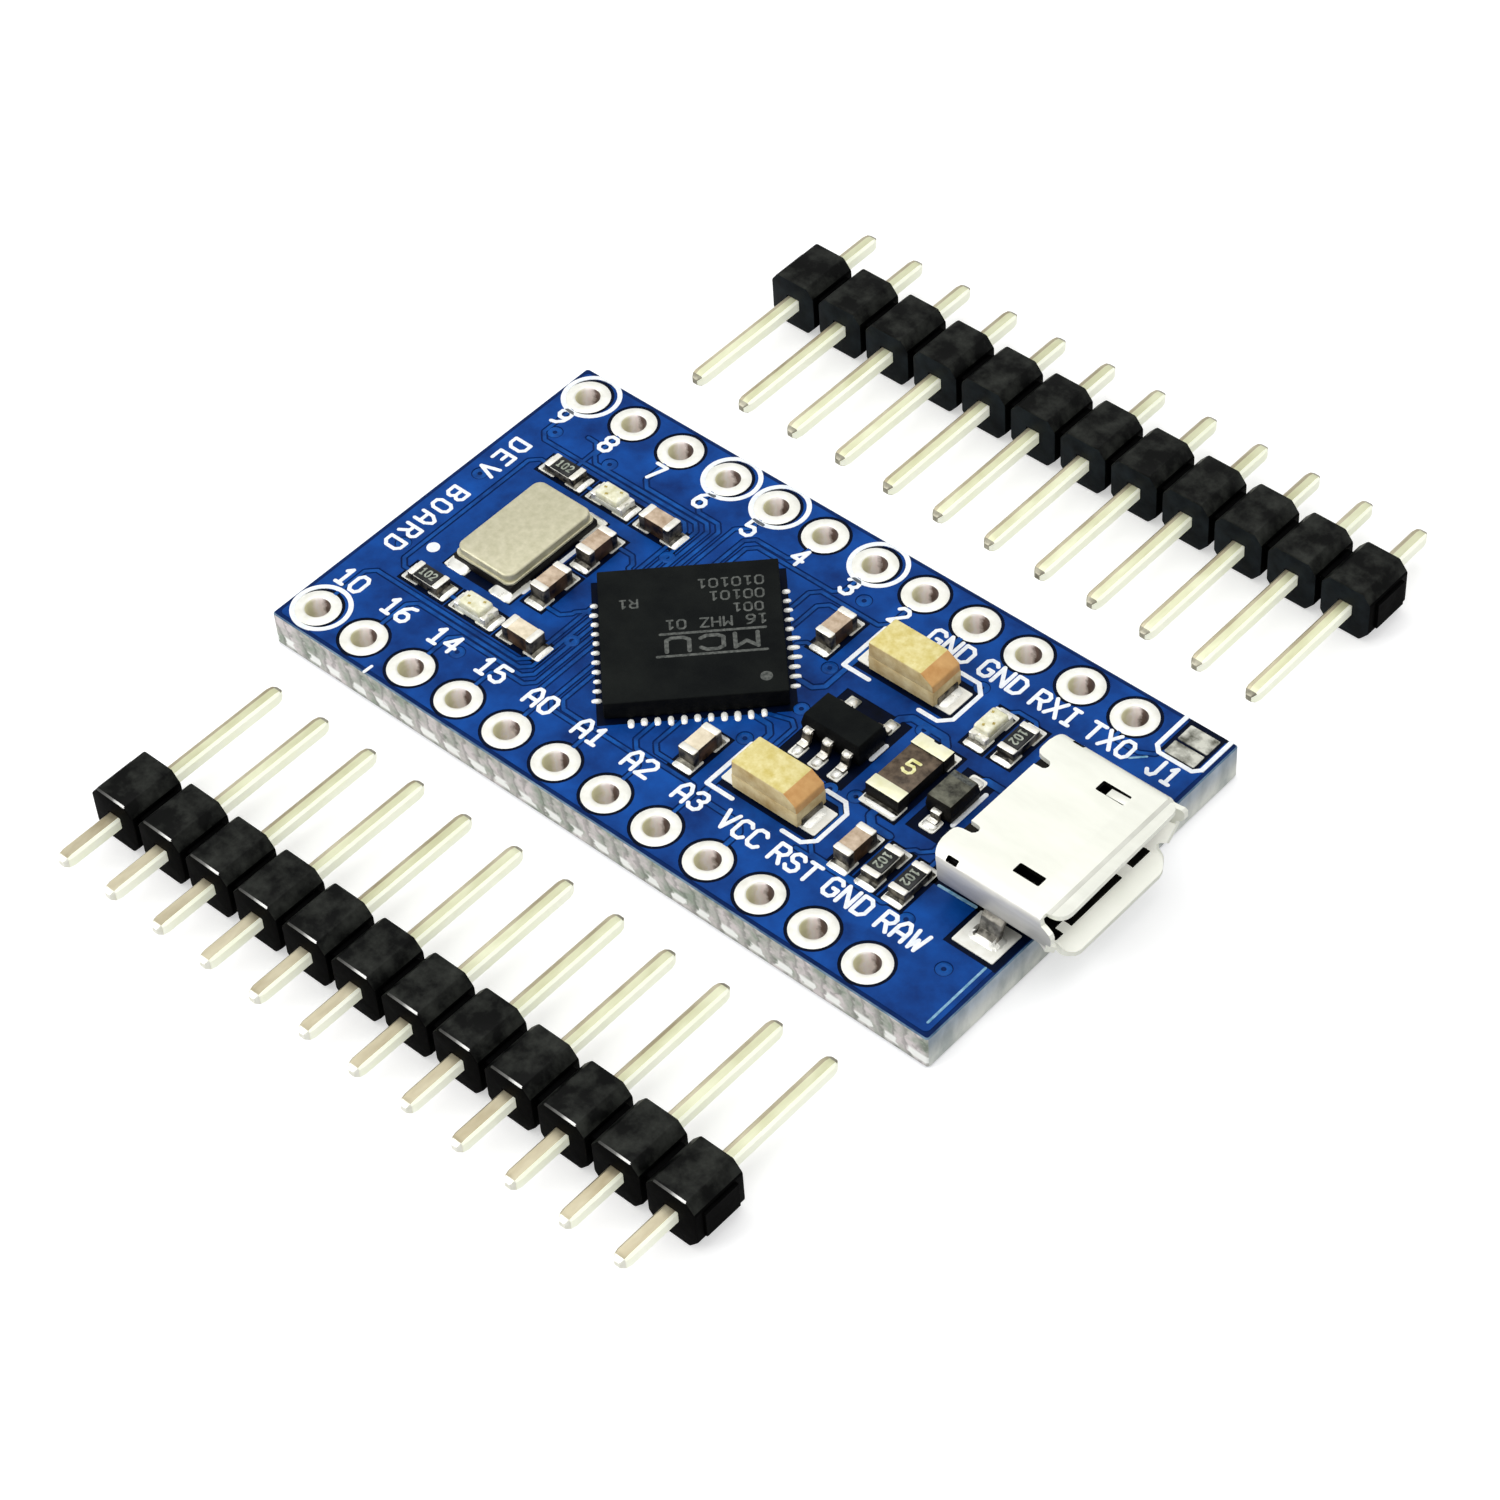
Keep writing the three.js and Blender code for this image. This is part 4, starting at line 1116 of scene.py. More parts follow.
# kind: builder, height of the solder at its ends
CHIP_KINDS = {
    "brown": (capacitor, 0.2),
    "cream": (capacitor, 0.2),
    "res": (resistor, 0.16),
    "led": (led, 0.13),
}
for name, (x, y, axis, kind) in CHIPS.items():
    along, turn = ((1, 0), 0.0) if axis == "x" else ((0, 1), math.pi / 2)
    make, height = CHIP_KINDS[kind]
    make(name, x, y, along, turn, rng.uniform(-0.012, 0.012), kind)
    for end in (-1, 1):
        out = (end * along[0], end * along[1])
        fillet(x + out[0] * 0.79, y + out[1] * 0.79, out, 0.84 * rng.uniform(0.97, 1.05),
               0.36 * rng.uniform(0.9, 1.1), height * rng.uniform(0.85, 1.1), dark=1)
        half_sizes = (0.42, 0.45) if axis == "x" else (0.45, 0.42)
        pad(x + out[0] * 0.72, y + out[1] * 0.72, *half_sizes, thick=0.03)


# ---------------------------------------------------------------- crystal
def crystal():
    corners = [(ex, ey) for ex in (-1, 1) for ey in (-1, 1)]
    shape = Shape()
    box(shape, (CRYSTAL_X, 0, TOP + 0.02), (3.1, 4.9, 0.40), 0.05, 2)
    for ex, ey in corners:
        base = (CRYSTAL_X + ex * 1.13, ey * 2.02, TOP + 0.01)
        box(shape, base, (0.84, 0.9, 0.12), 0.02, 1, 1)
    build(shape, "crystal_base", [DARK_CERAMIC, TIN], "crystal_base")
    shape = Shape()
    rim = rounded_rect(CRYSTAL_X, 0, 1.53, 2.43, 0.3, 6)
    prism(shape, rim, TOP + 0.42, TOP + 0.52, 0.025)
    upper_edge = lambda edge: min(v.co.z for v in edge.verts) > TOP + 0.85
    crown = rounded_rect(CRYSTAL_X, 0, 1.47, 2.37, 0.4, 10)
    prism(shape, crown, TOP + 0.5, TOP + 0.88, 0.1, 4, only=upper_edge)
    build(shape, "crystal_lid", [CRYSTAL_LID], "crystal_lid", angle=40)
    for ex, ey in corners:
        pad(CRYSTAL_X + ex * 1.2, ey * 2.1, 0.55, 0.72)
        fillet(CRYSTAL_X + ex * 1.18, ey * 2.44, (0, ey), 0.95, 0.42, 0.2)


crystal()


# ---------------------------------------------------------------- microcontroller
def mcu_package():
    shape = Shape()
    size = (MCU_SIZE, MCU_SIZE, 0.84)
    box(shape, (MCU_X, MCU_Y, TOP + 0.06), size, 0.07, 3, top_and_shaded_sides(1), MCU_TURN)
    build(shape, "mcu_package", [EPOXY, EPOXY_SHADED_SIDE], "mcu_package")
    shape = Shape()
    box(shape, (MCU_X, MCU_Y, TOP + 0.01), (5.2, 5.2, 0.17), 0.03, 1, 0, MCU_TURN)
    build(shape, "mcu_die_pad", [DIE_PAD], "mcu_die_pad")


def mcu_lands():
    shape = Shape()
    for k, out in enumerate(SIDES):
        for j in range(11):
            base = (*land(k, j, 3.42), TOP + 0.045)
            box(shape, base, (0.18, 0.22, 0.14), 0.02, 1, 1, math.atan2(out[1], out[0]))
            length = rng.choice((0.34, 0.38, 0.42, 0.42, 0.48))
            if k == 0 and j in (2, 3, 4, 5):
                length += 0.1
            length += {2: -0.06, 3: 0.08}.get(k, 0.0)
            x, y = land(k, j, 3.54 + length / 2)
            width = (0.26 if k == 3 else 0.22) * rng.uniform(0.94, 1.08)
            blob(shape, x, y, out, length, width, 0.1 * rng.uniform(0.85, 1.15))
    build(shape, "mcu_lands", [LAND_PAINTED_LIGHT, EPOXY_SHADED_SIDE])


def mcu_marks():
    root = math.sqrt(0.5)
    up, reading = (root, -root), (-root, -root)
    level = (TOP + 0.9 - 0.004, TOP + 0.9 + 0.004)

    def on_mcu(a, b):
        """a along the reading direction, b towards the top of the letters, from the centre."""
        return (MCU_X + reading[0] * a + up[0] * b, MCU_Y + reading[1] * a + up[1] * b)

    shape = Shape()
    for word, a, b, size in (  # text, place, text() size
        ("MCU", -0.75, 0.72, (0.72, 0.86, 1.3, 0.17)),
        ("16 MHZ 01", -0.95, -0.33, (0.46, 0.3, 0.44, 0.085)),
        ("001", -2.2, -1.0, (0.42, 0.28, 0.42, 0.08)),
        ("00101", -1.8, -1.7, (0.44, 0.3, 0.44, 0.08)),
        ("010101", -1.6, -2.4, (0.44, 0.3, 0.44, 0.08)),
        ("R1", 2.35, -1.6, (0.42, 0.28, 0.42, 0.08)),
    ):
        text(shape, word, on_mcu(a, b), size, level, along=reading, up=up)
    strokes(shape, [[on_mcu(-2.8, 1.3), on_mcu(1.35, 1.3)]], 0.12, level)
    strokes(shape, [[on_mcu(-2.8, 0.14), on_mcu(1.2, 0.14)]], 0.12, level)
    dot(shape, 1.2, 0.0, 0.24, level)
    build(shape, "mcu_marks", [LASER])


mcu_package()
mcu_lands()
mcu_marks()


# ---------------------------------------------------------------- power parts
def tantalum(name, x, y):
    """A block whose upper half slopes at the +X end."""

    def mat(face):  # the profile's normals are (x, z, y)
        # the band on the sloped +X end, the top colour upwards, painted shade on the rest
        if face.normal.x > 0.3 and face.normal.y > -0.3:
            return 4
        return 0 if face.normal.y > 0.5 else 1

    shape = Shape()
    profile = [(x - 1.6, 0.78), (x + 1.6, 0.78), (x + 1.57, 1.17), (x + 0.98, 1.55),
               (x - 1.57, 1.55)]
    prism(shape, profile, y - 0.8, y + 0.8, 0.07, 3, mat, ALONG_Y)
    box(shape, (x, y, TOP + 0.1), (3.2, 1.62, 0.72), 0.05, 2, 1, taper=-0.005)
    for e in (-1, 1):
        box(shape, (x + e * 1.6, y, TOP + 0.02), (0.12, 1.15, 0.36), 0.03, 2, 3)
        box(shape, (x + e * 1.25, y, TOP + 0.015), (0.75, 1.15, 0.11), 0.03, 2, 2)
    mats = [TANTALUM_TOP, TANTALUM_SHADED_SIDE, TIN, TIN_SHADED, TANTALUM_BAND]
    build(shape, name, mats, name)
    for e in (-1, 1):
        pad(x + e * 1.62, y, 0.66, 0.68)
        fillet(x + e * 1.65, y, (e, 0), 1.15, 0.34, 0.12, power=1.8, bulge=0.02)


def gull_lead(shape, x, y, way, width, height, reach, thick):
    """A lead that leaves a body at (x, y) along Y, drops and ends in a flat foot."""
    knee = 0.12
    profile = [  # distance outwards, height above the board
        (-0.05, height), (knee + 0.04, height), (knee + 0.12, height - 0.07),
        (reach * 0.5, 0.12 + thick), (reach * 0.62, 0.03 + thick), (reach, 0.03 + thick),
        (reach, 0.03), (reach * 0.55, 0.03), (reach * 0.3, 0.12), (knee * 0.6, height - thick),
        (-0.05, height - thick),
    ]
    matrix = Matrix(((0, 0, way, x), (way, 0, 0, y), (0, 1, 0, TOP), (0, 0, 0, 1)))
    # the lead's upper faces in tin, the rest in painted shade
    mat = lambda face: 1 if face.normal.y > 0.62 else 2
    prism(shape, profile, -width / 2, width / 2, 0.03, 2, mat, matrix)


def regulator():
    shape = Shape()
    box(shape, (5.0, 0.0, TOP + 0.58), (2.9, 1.6, 0.52), 0.05, 2, top_and_shaded_sides(3), taper=0.11)
    box(shape, (5.0, 0.0, TOP + 0.08), (2.76, 1.46, 0.52), 0.04, 2, 3, taper=-0.06)
    for x, e in ((4.05, -1), (5.0, -1), (5.95, -1), (4.05, 1), (5.95, 1)):
        gull_lead(shape, x, e * 0.78, e, width=0.4, height=0.66, reach=0.62, thick=0.15)
        pad(x, e * 1.5, 0.26, 0.34, mat=0 if e < 0 else 1)
        blob(solder, x, e * 1.5, (0, e), 0.6, 0.44, 0.15)
        # the +Y knees in painted shade
        mat = 1 if e < 0 else 2
        blob(shape, x, e * 0.9, (0, e), 0.34, 0.44, 0.13, z0=TOP + 0.56, mat=mat, soft=0.95)
    build(shape, "regulator", [EPOXY, TIN, TIN_SHADED, EPOXY_SHADED_SIDE], "regulator")


def fuse():
    x0, half = 8.2, 0.8
    shape = Shape()
    box(shape, (x0, 0, TOP + 0.05), (1.54, 2.1, 0.6), 0.04, 2, top_and_shaded_sides(3))
    for e in (-1, 1):
        # the +Y end has a shallow notch
        turns = [math.radians(a) for a in range(20, 161, 35)] if e > 0 else []
        notch = [(0.0 - 0.16 * math.cos(a), 1.6 - 0.1 * math.sin(a)) for a in turns]
        outline = [(-half, 0.98), (-half, 1.6), (-0.16, 1.6)] + notch
        outline += [(0.16, 1.6), (half, 1.6), (half, 0.98)]
        outline = [(x0 + a, e * b) for a, b in outline]
        prism(shape, outline, TOP + 0.02, TOP + 0.7, 0.045, 2, top_and_shaded_sides(3, 1))
        pad(x0, e * 1.55, 0.85, 0.42)
        fillet(x0, e * 1.58, (0, e), 1.62, 0.34, 0.1, power=1.6, bulge=0.02, dark=1)
    text(shape, "5", (x0, 0.05), (0.62, 0.42, 0.5, 0.13), (TOP + 0.64, TOP + 0.662), 2)
    build(shape, "fuse", [FUSE_BODY, FUSE_END, FUSE_MARK, BLACK_SIDE], "fuse")


def diode():
    x, y = 10.2, 0.05
    shape = Shape()
    box(shape, (x, y, TOP + 0.42), (1.25, 1.7, 0.48), 0.05, 2, top_and_shaded_sides(3), taper=0.07)
    box(shape, (x, y, TOP + 0.05), (1.17, 1.62, 0.4), 0.04, 2, 3, taper=-0.04)
    box(shape, (x, 0.62, TOP + 0.893), (1.06, 0.2, 0.012), 0.0, 1, 4)
    for e in (-1, 1):
        gull_lead(shape, x, y + e * 0.82, e, width=0.42, height=0.48, reach=0.46, thick=0.13)
        pad(x, y + e * 1.25, 0.36, 0.36, radius=0.12)
        blob(solder, x, y + e * 1.3, (0, e), 0.5, 0.7, 0.14)
        blob(shape, x, y + e * 0.92, (0, e), 0.26, 0.4, 0.1, z0=TOP + 0.4, mat=1, soft=0.95)
    build(shape, "diode", [DIODE_BODY, TIN, TIN_SHADED, BLACK_SIDE, LASER], "diode")


tantalum("tantalum_cap_in", 5.0, 4.05)
tantalum("tantalum_cap_out", 5.0, -3.65)
regulator()
fuse()
diode()

# solder jumper by the +X +Y corner, then the pads under the socket's feet
pad(15.22, 8.17, 0.68, 0.42, radius=0.05, thick=0.05, mat=1)
pad(15.22, 7.28, 0.68, 0.34, radius=0.05, thick=0.05, mat=1)
for side in (-1, 1):
    pad(15.16, side * 4.04, 0.94, 0.84, radius=0.05)

# ---------------------------------------------------------------- USB socket shell
# The sheet is laid out flat as (s, x): s is the length round the shell from the middle of its
# underside, through +Y. z is above the board here.
WALL = 0.22
SHELL_Y, SHELL_Z = 3.75, 2.45


def rounded_loop(corners, steps=6):
    """Closed outline from the middle of the edge before the first corner.

    corners: (y, z, radius). Returns (y, z, normal y, normal z).
    """
    middle = ((corners[-1][0] + corners[0][0]) / 2, (corners[-1][1] + corners[0][1]) / 2, 0.0, -1.0)
    out = [middle]
    for i, (y, z, radius) in enumerate(corners):
        corner = Vector((y, z))
        arrive = (corner - Vector(corners[i - 1][:2])).normalized()
        leave = (Vector(corners[(i + 1) % len(corners)][:2]) - corner).normalized()
        normal = Vector((arrive.y, -arrive.x))
        turn = math.acos(max(-1, min(1, arrive.dot(leave))))
        centre = corner - arrive * (radius * math.tan(turn / 2)) - normal * radius
        for k in range(steps + 1):
            a = turn * k / steps
            out_dir = normal * math.cos(a) + arrive * math.sin(a)
            spot = centre + out_dir * radius
            out.append((spot.x, spot.y, out_dir.x, out_dir.y))
    out.append(middle)
    return out


LOOP = rounded_loop([
    (2.8, 0.0, 0.4), (SHELL_Y, 1.05, 0.4), (SHELL_Y, SHELL_Z, 0.4),
    (-SHELL_Y, SHELL_Z, 0.4), (-SHELL_Y, 1.05, 0.4), (-2.8, 0.0, 0.4),
])
LENGTHS = [0.0]  # length round the shell up to each point of LOOP
for before, after in zip(LOOP[:-1], LOOP[1:]):
    LENGTHS.append(LENGTHS[-1] + math.hypot(after[0] - before[0], after[1] - before[1]))
GIRTH = LENGTHS[-1]


def around(s):
    """(y, z, normal y, normal z) at length s."""
    s = max(0.0, min(GIRTH, s))
    for i in range(len(LENGTHS) - 1):
        if s <= LENGTHS[i + 1] + 1e-9:
            t = (s - LENGTHS[i]) / max(1e-9, LENGTHS[i + 1] - LENGTHS[i])
            y, z, ny, nz = [a + (b - a) * t for a, b in zip(LOOP[i], LOOP[i + 1])]
            size = math.hypot(ny, nz)
            return y, z, ny / size, nz / size
    return LOOP[-1]


def find(y, z):
    """Length at the point of the outline nearest to (y, z)."""
    best = (1e9, 0)
    for i in range(len(LENGTHS) - 1):
        start, end = LOOP[i], LOOP[i + 1]
        run_y, run_z = end[0] - start[0], end[1] - start[1]
        square = run_y * run_y + run_z * run_z
        t = ((y - start[0]) * run_y + (z - start[1]) * run_z) / square if square >= 1e-12 else 0
        t = max(0, min(1, t))
        away = math.hypot(start[0] + run_y * t - y, start[1] + run_z * t - z)
        if away < best[0]:
            best = (away, LENGTHS[i] + t * (LENGTHS[i + 1] - LENGTHS[i]))
    return best[1]


# Edges of the sheet on its +Y half: y, z on the outline, and x.
MOUTH_EDGE = [
    (0.0, 0, 18.0), (2.25, 0, 18.0), (2.5, 0, 17.94), (2.66, 0.02, 17.82), (2.86, 0.1, 17.62),
    (2.98, 0.2, 17.36), (3.06, 0.28, 17.3), (3.12, 0.34, 17.36), (3.2, 0.42, 17.6),
    (3.7, 0.98, 17.62), (3.75, 1.3, 17.64), (3.75, 1.42, 17.86), (3.75, 1.52, 17.94),
    (3.75, 1.84, 17.94), (3.75, 1.96, 17.84), (3.75, 2.04, 17.4), (3.66, 2.3, 17.3),
    (3.42, 2.44, 17.34), (3.36, 2.45, 17.62), (3.28, 2.45, 17.82), (3.12, 2.45, 17.95),
    (2.9, 2.45, 18.0),
]
BACK_EDGE = [
    (1.76, 2.45, 12.6), (1.78, 2.45, 12.98), (1.85, 2.45, 13.08), (1.98, 2.45, 13.12),
    (2.1, 2.45, 13.08), (2.2, 2.45, 12.98), (2.24, 2.45, 12.6), (2.3, 2.45, 12.42),
    (2.42, 2.45, 12.33), (2.6, 2.45, 12.3), (3.0, 2.45, 12.3), (3.3, 2.45, 12.36),
    (3.55, 2.4, 12.46), (3.7, 2.25, 12.56), (3.75, 2.0, 12.62), (3.75, 1.2, 12.66),
    (3.3, 0.5, 12.8), (2.6, 0, 12.9), (0.0, 0, 12.9),
]
CREASE, LOW_CREASE = 17.5, 17.24  # where the lips fold: the others, and the underside
mouth = [(find(y, z), x) for y, z, x in MOUTH_EDGE]
back = [(find(y, z), x) for y, z, x in BACK_EDGE]
top_lip = find(3.4, 2.45)
SHEET = mouth + [(GIRTH - s, x + (0.12 if s > top_lip else 0.0)) for s, x in reversed(mouth)]
SHEET += [(GIRTH - s, x) for s, x in reversed(back)] + back


def top_window(y0, y1, x0, x1):
    low, high = GIRTH / 2 - y1, GIRTH / 2 - y0
    return rounded_rect((low + high) / 2, (x0 + x1) / 2, (high - low) / 2, (x1 - x0) / 2, 0.06, 3)


# two latch openings in the top and a small one at each upper edge
OPENINGS = [top_window(-2.66, -2.18, 15.2, 16.38), top_window(2.18, 2.7, 15.06, 16.34)]
for s in (GIRTH - find(3.6, 2.37), find(3.6, 2.37)):
    OPENINGS.append(rounded_rect(s, 13.24, 0.13, 0.25, 0.05, 2))


def flare(s, x):
    """How far the sheet bends out at the mouth. The top has a shallow groove along its fold."""
    y, _, _, nz = around(s)
    if nz < -0.3:
        return 0.36 * (max(0.0, x - 17.08) / 0.92) ** 1.7
    if nz > 0.8:
        groove = -0.05 * math.exp(-(((x - 17.46) / 0.08) ** 2)) if abs(y) < 3.3 else 0.0
        return groove + 0.12 * (max(0.0, x - CREASE) / 0.5) ** 1.2
    return 0.17 * (max(0.0, x - 17.3) / 0.7) ** 1.5


def place(spot, depth):
    s, x = spot
    y, z, ny, nz = around(s)
    shift = flare(s, x) - depth
    return (x, y + ny * shift, TOP + z + nz * shift)


def sheet_mats(s, x):
    """Materials of the outer and inner face at a point of the sheet."""
    y, z, ny, nz = around(s)
    # inside, the sheet is painted dark as shade up to the fold of each lip; past the fold the lower
    # lip carries painted light
    limit = LOW_CREASE
    if nz < -0.3:
        if y > 2.7:
            limit = 16.6
        elif 1.05 < y < 1.65 or -2.3 < y < -1.85:
            limit = 16.86
    elif nz > 0.5:
        limit = CREASE
    # outside: painted shade along the fold of the top lip, and the painted-shade copy on the side
    # walls
    outer = 5 if nz > 0.9 and 17.36 < x < 17.56 else 0
    if abs(ny) > 0.6 and (z > 0.6 or x < 17.2):
        outer = 2
    return [outer, (4 if nz < -0.3 else 0) if x > limit else 1]


def beside_opening(s, x):
    for loop in OPENINGS:
        lengths, places = zip(*loop)
        if (min(lengths) - 0.01 < s < max(lengths) + 0.01
                and min(places) - 0.01 < x < max(places) + 0.01):
            return True
    return False


def usb_sheet(shape):
    lines = [((s, 12.0), (s, 18.2)) for s in LENGTHS[1:-1]]
    lines += [((0.0, x), (GIRTH, x)) for x in (
        16.6, 16.86, 17.1, LOW_CREASE, 17.3, 17.36, 17.41, 17.46, 17.51, 17.56, 17.63, 17.7,
        17.8, 17.9)]
    lines += [((s, 12.0), (s, 18.2)) for s in (1.05, 1.65, GIRTH - 2.3, GIRTH - 1.85)]
    inside = lambda spot: in_poly(spot, SHEET) and not any(in_poly(spot, w) for w in OPENINGS)
    flat, tris = region([SHEET] + OPENINGS, inside, lines)
    used, at = renumber(tris)
    count = len(used)
    verts = [place(flat[i], depth) for depth in (0.0, WALL) for i in used]
    edges = set()
    for tri in tris:
        edges |= {(tri[0], tri[1]), (tri[1], tri[2]), (tri[2], tri[0])}
    faces, mats = [], []
    for tri in tris:
        a, b, c = (at[i] for i in tri)
        faces += [(a, b, c), (count + c, count + b, count + a)]
        mats += sheet_mats(sum(flat[i][0] for i in tri) / 3, sum(flat[i][1] for i in tri) / 3)
    for a, b in edges:
        if (b, a) in edges:
            continue
        sa, sb = flat[a][0], flat[b][0]
        # the two ends of the flat sheet meet under the socket and need no wall
        if max(sa, sb) < 1e-5 or min(sa, sb) > GIRTH - 1e-5:
            continue
        faces.append((at[b], at[a], count + at[a], count + at[b]))
        # walls round the openings take the inside's painted shade
        mats.append(1 if beside_opening((sa + sb) / 2, (flat[a][1] + flat[b][1]) / 2) else 0)
    shape.add(verts, faces, mats)


def usb_shell():
    shape = Shape()
    usb_sheet(shape)
    # spring tab bent up in the +Y latch opening, and the spring under the -Y one, painted dark as
    # shade
    tab = [(15.5, 2.3), (16.4, 2.37), (16.4, 2.44), (15.5, 2.39)]
    prism(shape, tab, 2.24, 2.62, 0.02, 2, 0, ALONG_Y)
    spring = [(15.0, 1.5), (16.42, 2.0), (16.42, 2.1), (15.0, 1.6)]
    prism(shape, spring, -2.75, -2.1, 0.02, 2, 1, ALONG_Y)
    # feet soldered to the two side pads: y, z
    foot = [(3.28, 0.72), (3.62, 1.02), (3.86, 0.8), (3.98, 0.32), (4.22, 0.2), (4.22, 0.04),
            (3.9, 0.05), (3.78, 0.3), (3.66, 0.7), (3.5, 0.78)]
    for e in (-1, 1):
        # the feet in the painted-shade leg colour
        prism(shape, [(e * y, z) for y, z in foot], 14.75, 15.7, 0.03, 2, 3, ALONG_X)
        fillet(15.2, e * 4.12, (0, e), 1.3, 0.34, 0.24, power=1.5, bulge=0.04)
        fillet(15.6, e * 4.0, (1, 0), 0.6, 0.3, 0.3, power=1.8, bulge=0.04)
        fillet(14.8, e * 4.0, (-1, 0), 0.6, 0.3, 0.3, power=1.8, bulge=0.04, mat=1)
    mats = [STEEL, STEEL_INSIDE_SHADE, STEEL_SHADED_SIDE, STEEL_SHADED_LEG, STEEL_LIT_LIP, STEEL_FOLD_SHADE]
    build(shape, "usb_shell", mats, "usb_shell", angle=32)


def usb_insulator():
    shape = Shape()
    half = [(2.55, WALL + 0.01), (3.38, 1.1), (3.46, 1.22), (3.46, 2.18)]
    block = half + [(-y, z) for y, z in reversed(half)]
    prism(shape, block, 12.85, 14.2, 0.04, 2, 0, ALONG_X)
    box(shape, (15.5, 0, TOP + 1.2), (2.8, 3.7, 0.65), 0.06, 2)
    box(shape, (12.95, 0, TOP + 0.1), (0.5, 4.4, 1.2), 0.05, 2)
    for e in (-1, 1):
        box(shape, (12.8, e * 2.0, TOP + 1.0), (0.62, 0.62, 1.22), 0.04, 2, 1)
    build(shape, "usb_insulator", [INSULATOR, BLACK_SIDE], "usb_insulator")


def usb_contact(k):
    y, width = 1.3 - 0.65 * k, 0.28
    shape = Shape()
    box(shape, (14.6, y, TOP + 1.06), (4.2, width, 0.15), 0.03, 2)
    box(shape, (12.47, y, TOP + 0.05), (0.15, width, 1.14), 0.03, 2)
    box(shape, (12.22, y, TOP + 0.03), (0.6, width, 0.14), 0.03, 2)
    name = f"usb_contact_{k + 1}"
    build(shape, name, [GOLD], name)
    pad(12.05, y, 0.42, 0.17, radius=0.04)
    fillet(11.95, y, (-1, 0), 0.3, 0.28, 0.16, across=5, rows=4)


usb_shell()
usb_insulator()
for k in range(5):
    usb_contact(k)

build(solder, "solder_joints", [SOLDER, SOLDER_DIM], angle=60)
build(pads, "solder_pads", [PLATING, PLATING_DIM])

# ---------------------------------------------------------------- the two pin strips
PIN_W = 0.64
AXIS_Z = 1.25
BLOCK_L, BLOCK_H = 2.45, 2.5


def block_mat(face):
    """Top faces, -Y faces, the edge between them, and the rest."""
    normal = face.normal
    if 0.3 < normal.z < 0.93 and normal.y < -0.3 and abs(normal.x) < 0.3:
        return 3
    if normal.z > 0.5:
        return 0
    return 2 if normal.y < -0.7 else 1


def strip_block(shape, x0, y0, rnd):
    """One octagonal block of a strip, with a square hole along Y for its pin."""
    wide, flat, cut, hole = 1.14, 0.74, 0.5, 0.33
    outer = [(-flat, 0), (flat, 0), (wide, cut), (wide, BLOCK_H - cut), (flat, BLOCK_H),
             (-flat, BLOCK_H), (-wide, BLOCK_H - cut), (-wide, cut)]
    inner = [(sx * hole, AXIS_Z + sz * hole) for sx, sz in ((-1, -1), (1, -1), (1, 1), (-1, 1))]
    bm = bmesh.new()
    shift = rnd.uniform(-0.006, 0.006)
    ends = []
    for y in (-BLOCK_L / 2, BLOCK_L / 2):
        ends.append([[bm.verts.new((x0 + x, y0 + y + shift, z)) for x, z in ring]
                     for ring in (outer, inner)])
    (outer0, inner0), (outer1, inner1) = ends
    for k in range(8):
        j = (k + 1) % 8
        bm.faces.new((outer0[k], outer0[j], outer1[j], outer1[k]))
    for k in range(4):
        j = (k + 1) % 4
        bm.faces.new((inner0[j], inner0[k], inner1[k], inner1[j]))
    nearest = [0, 1, 1, 2, 2, 3, 3, 0]  # hole corner next to each outer corner
    for ring, square in ends:
        for k in range(8):
            j = (k + 1) % 8
            a, b = nearest[k], nearest[j]
            if a == b:
                bm.faces.new((ring[k], ring[j], square[a]))
            else:
                bm.faces.new((ring[k], ring[j], square[b], square[a]))
    bmesh.ops.recalc_face_normals(bm, faces=bm.faces[:])
    rim = {frozenset((ring[k], ring[(k + 1) % 8])) for ring in (outer0, outer1) for k in range(8)}
    rim |= {frozenset(pair) for pair in zip(outer0, outer1)}
    bevel(bm, [edge for edge in bm.edges if frozenset(edge.verts) in rim], 0.07, 2)
    shape.add_bm(bm, block_mat)


def housing(body, x0, y0, rnd):
    shape = Shape()
    for i in range(12):
        strip_block(shape, x0 + PITCH * i, y0, rnd)
        if i < 11:
            box(shape, (x0 + PITCH * (i + 0.5), y0, 0.6), (0.5, 1.8, 1.3), 0.05, 2, 1)
    for x in (x0 - 1.2, x0 + PITCH * 11 + 1.2):
        # stub where the strip was snapped off its neighbour
        box(shape, (x, y0, 0.62), (0.14, 1.7, 1.26), 0.02, 1, 1)
    # front strip: -Y faces in painted shade and a painted glint on their top edge; back strip: -Y
    # faces with a painted reflection
    facing, edge = (HEADER_SHADED_SIDE, HEADER_GLINT_EDGE) if body == "front" else (HEADER_LIT_FRONT, HEADER)
    name = f"{body}_header_housing"
    build(shape, name, [HEADER, HEADER_SHADED_SIDE, facing, edge], name,
          f"{body}_header", 28)


def pin_section(half, cut):
    """Square with cut corners, as (x, z), its top split into two strips for a painted highlight."""
    return [(-half + cut, -half), (half - cut, -half), (half, -half + cut), (half, half - cut),
            (half - cut, half), (-half * 0.3, half), (-half + cut, half), (-half, half - cut),
            (-half, -half + cut)]


def pin_mat(front, k, a):
    """Material between stations k and k + 1, on side a of the section.

    a = 2 and 7 are the +X and -X sides, 4 and 5 the two strips of the top.
    """
    # 1 paints a highlight on the short front tips, 3 shade on the tapers, 2 light on the sides, 4 a
    # highlight on the top
    if front and k < 2:
        return 1
    if k in (0, 1, 6, 7) and a not in (2, 7):
        return 3
    if a in (1, 2, 3, 7):
        return 2
    return 0 if a in (5, 6) or (front and k < 4) else 4


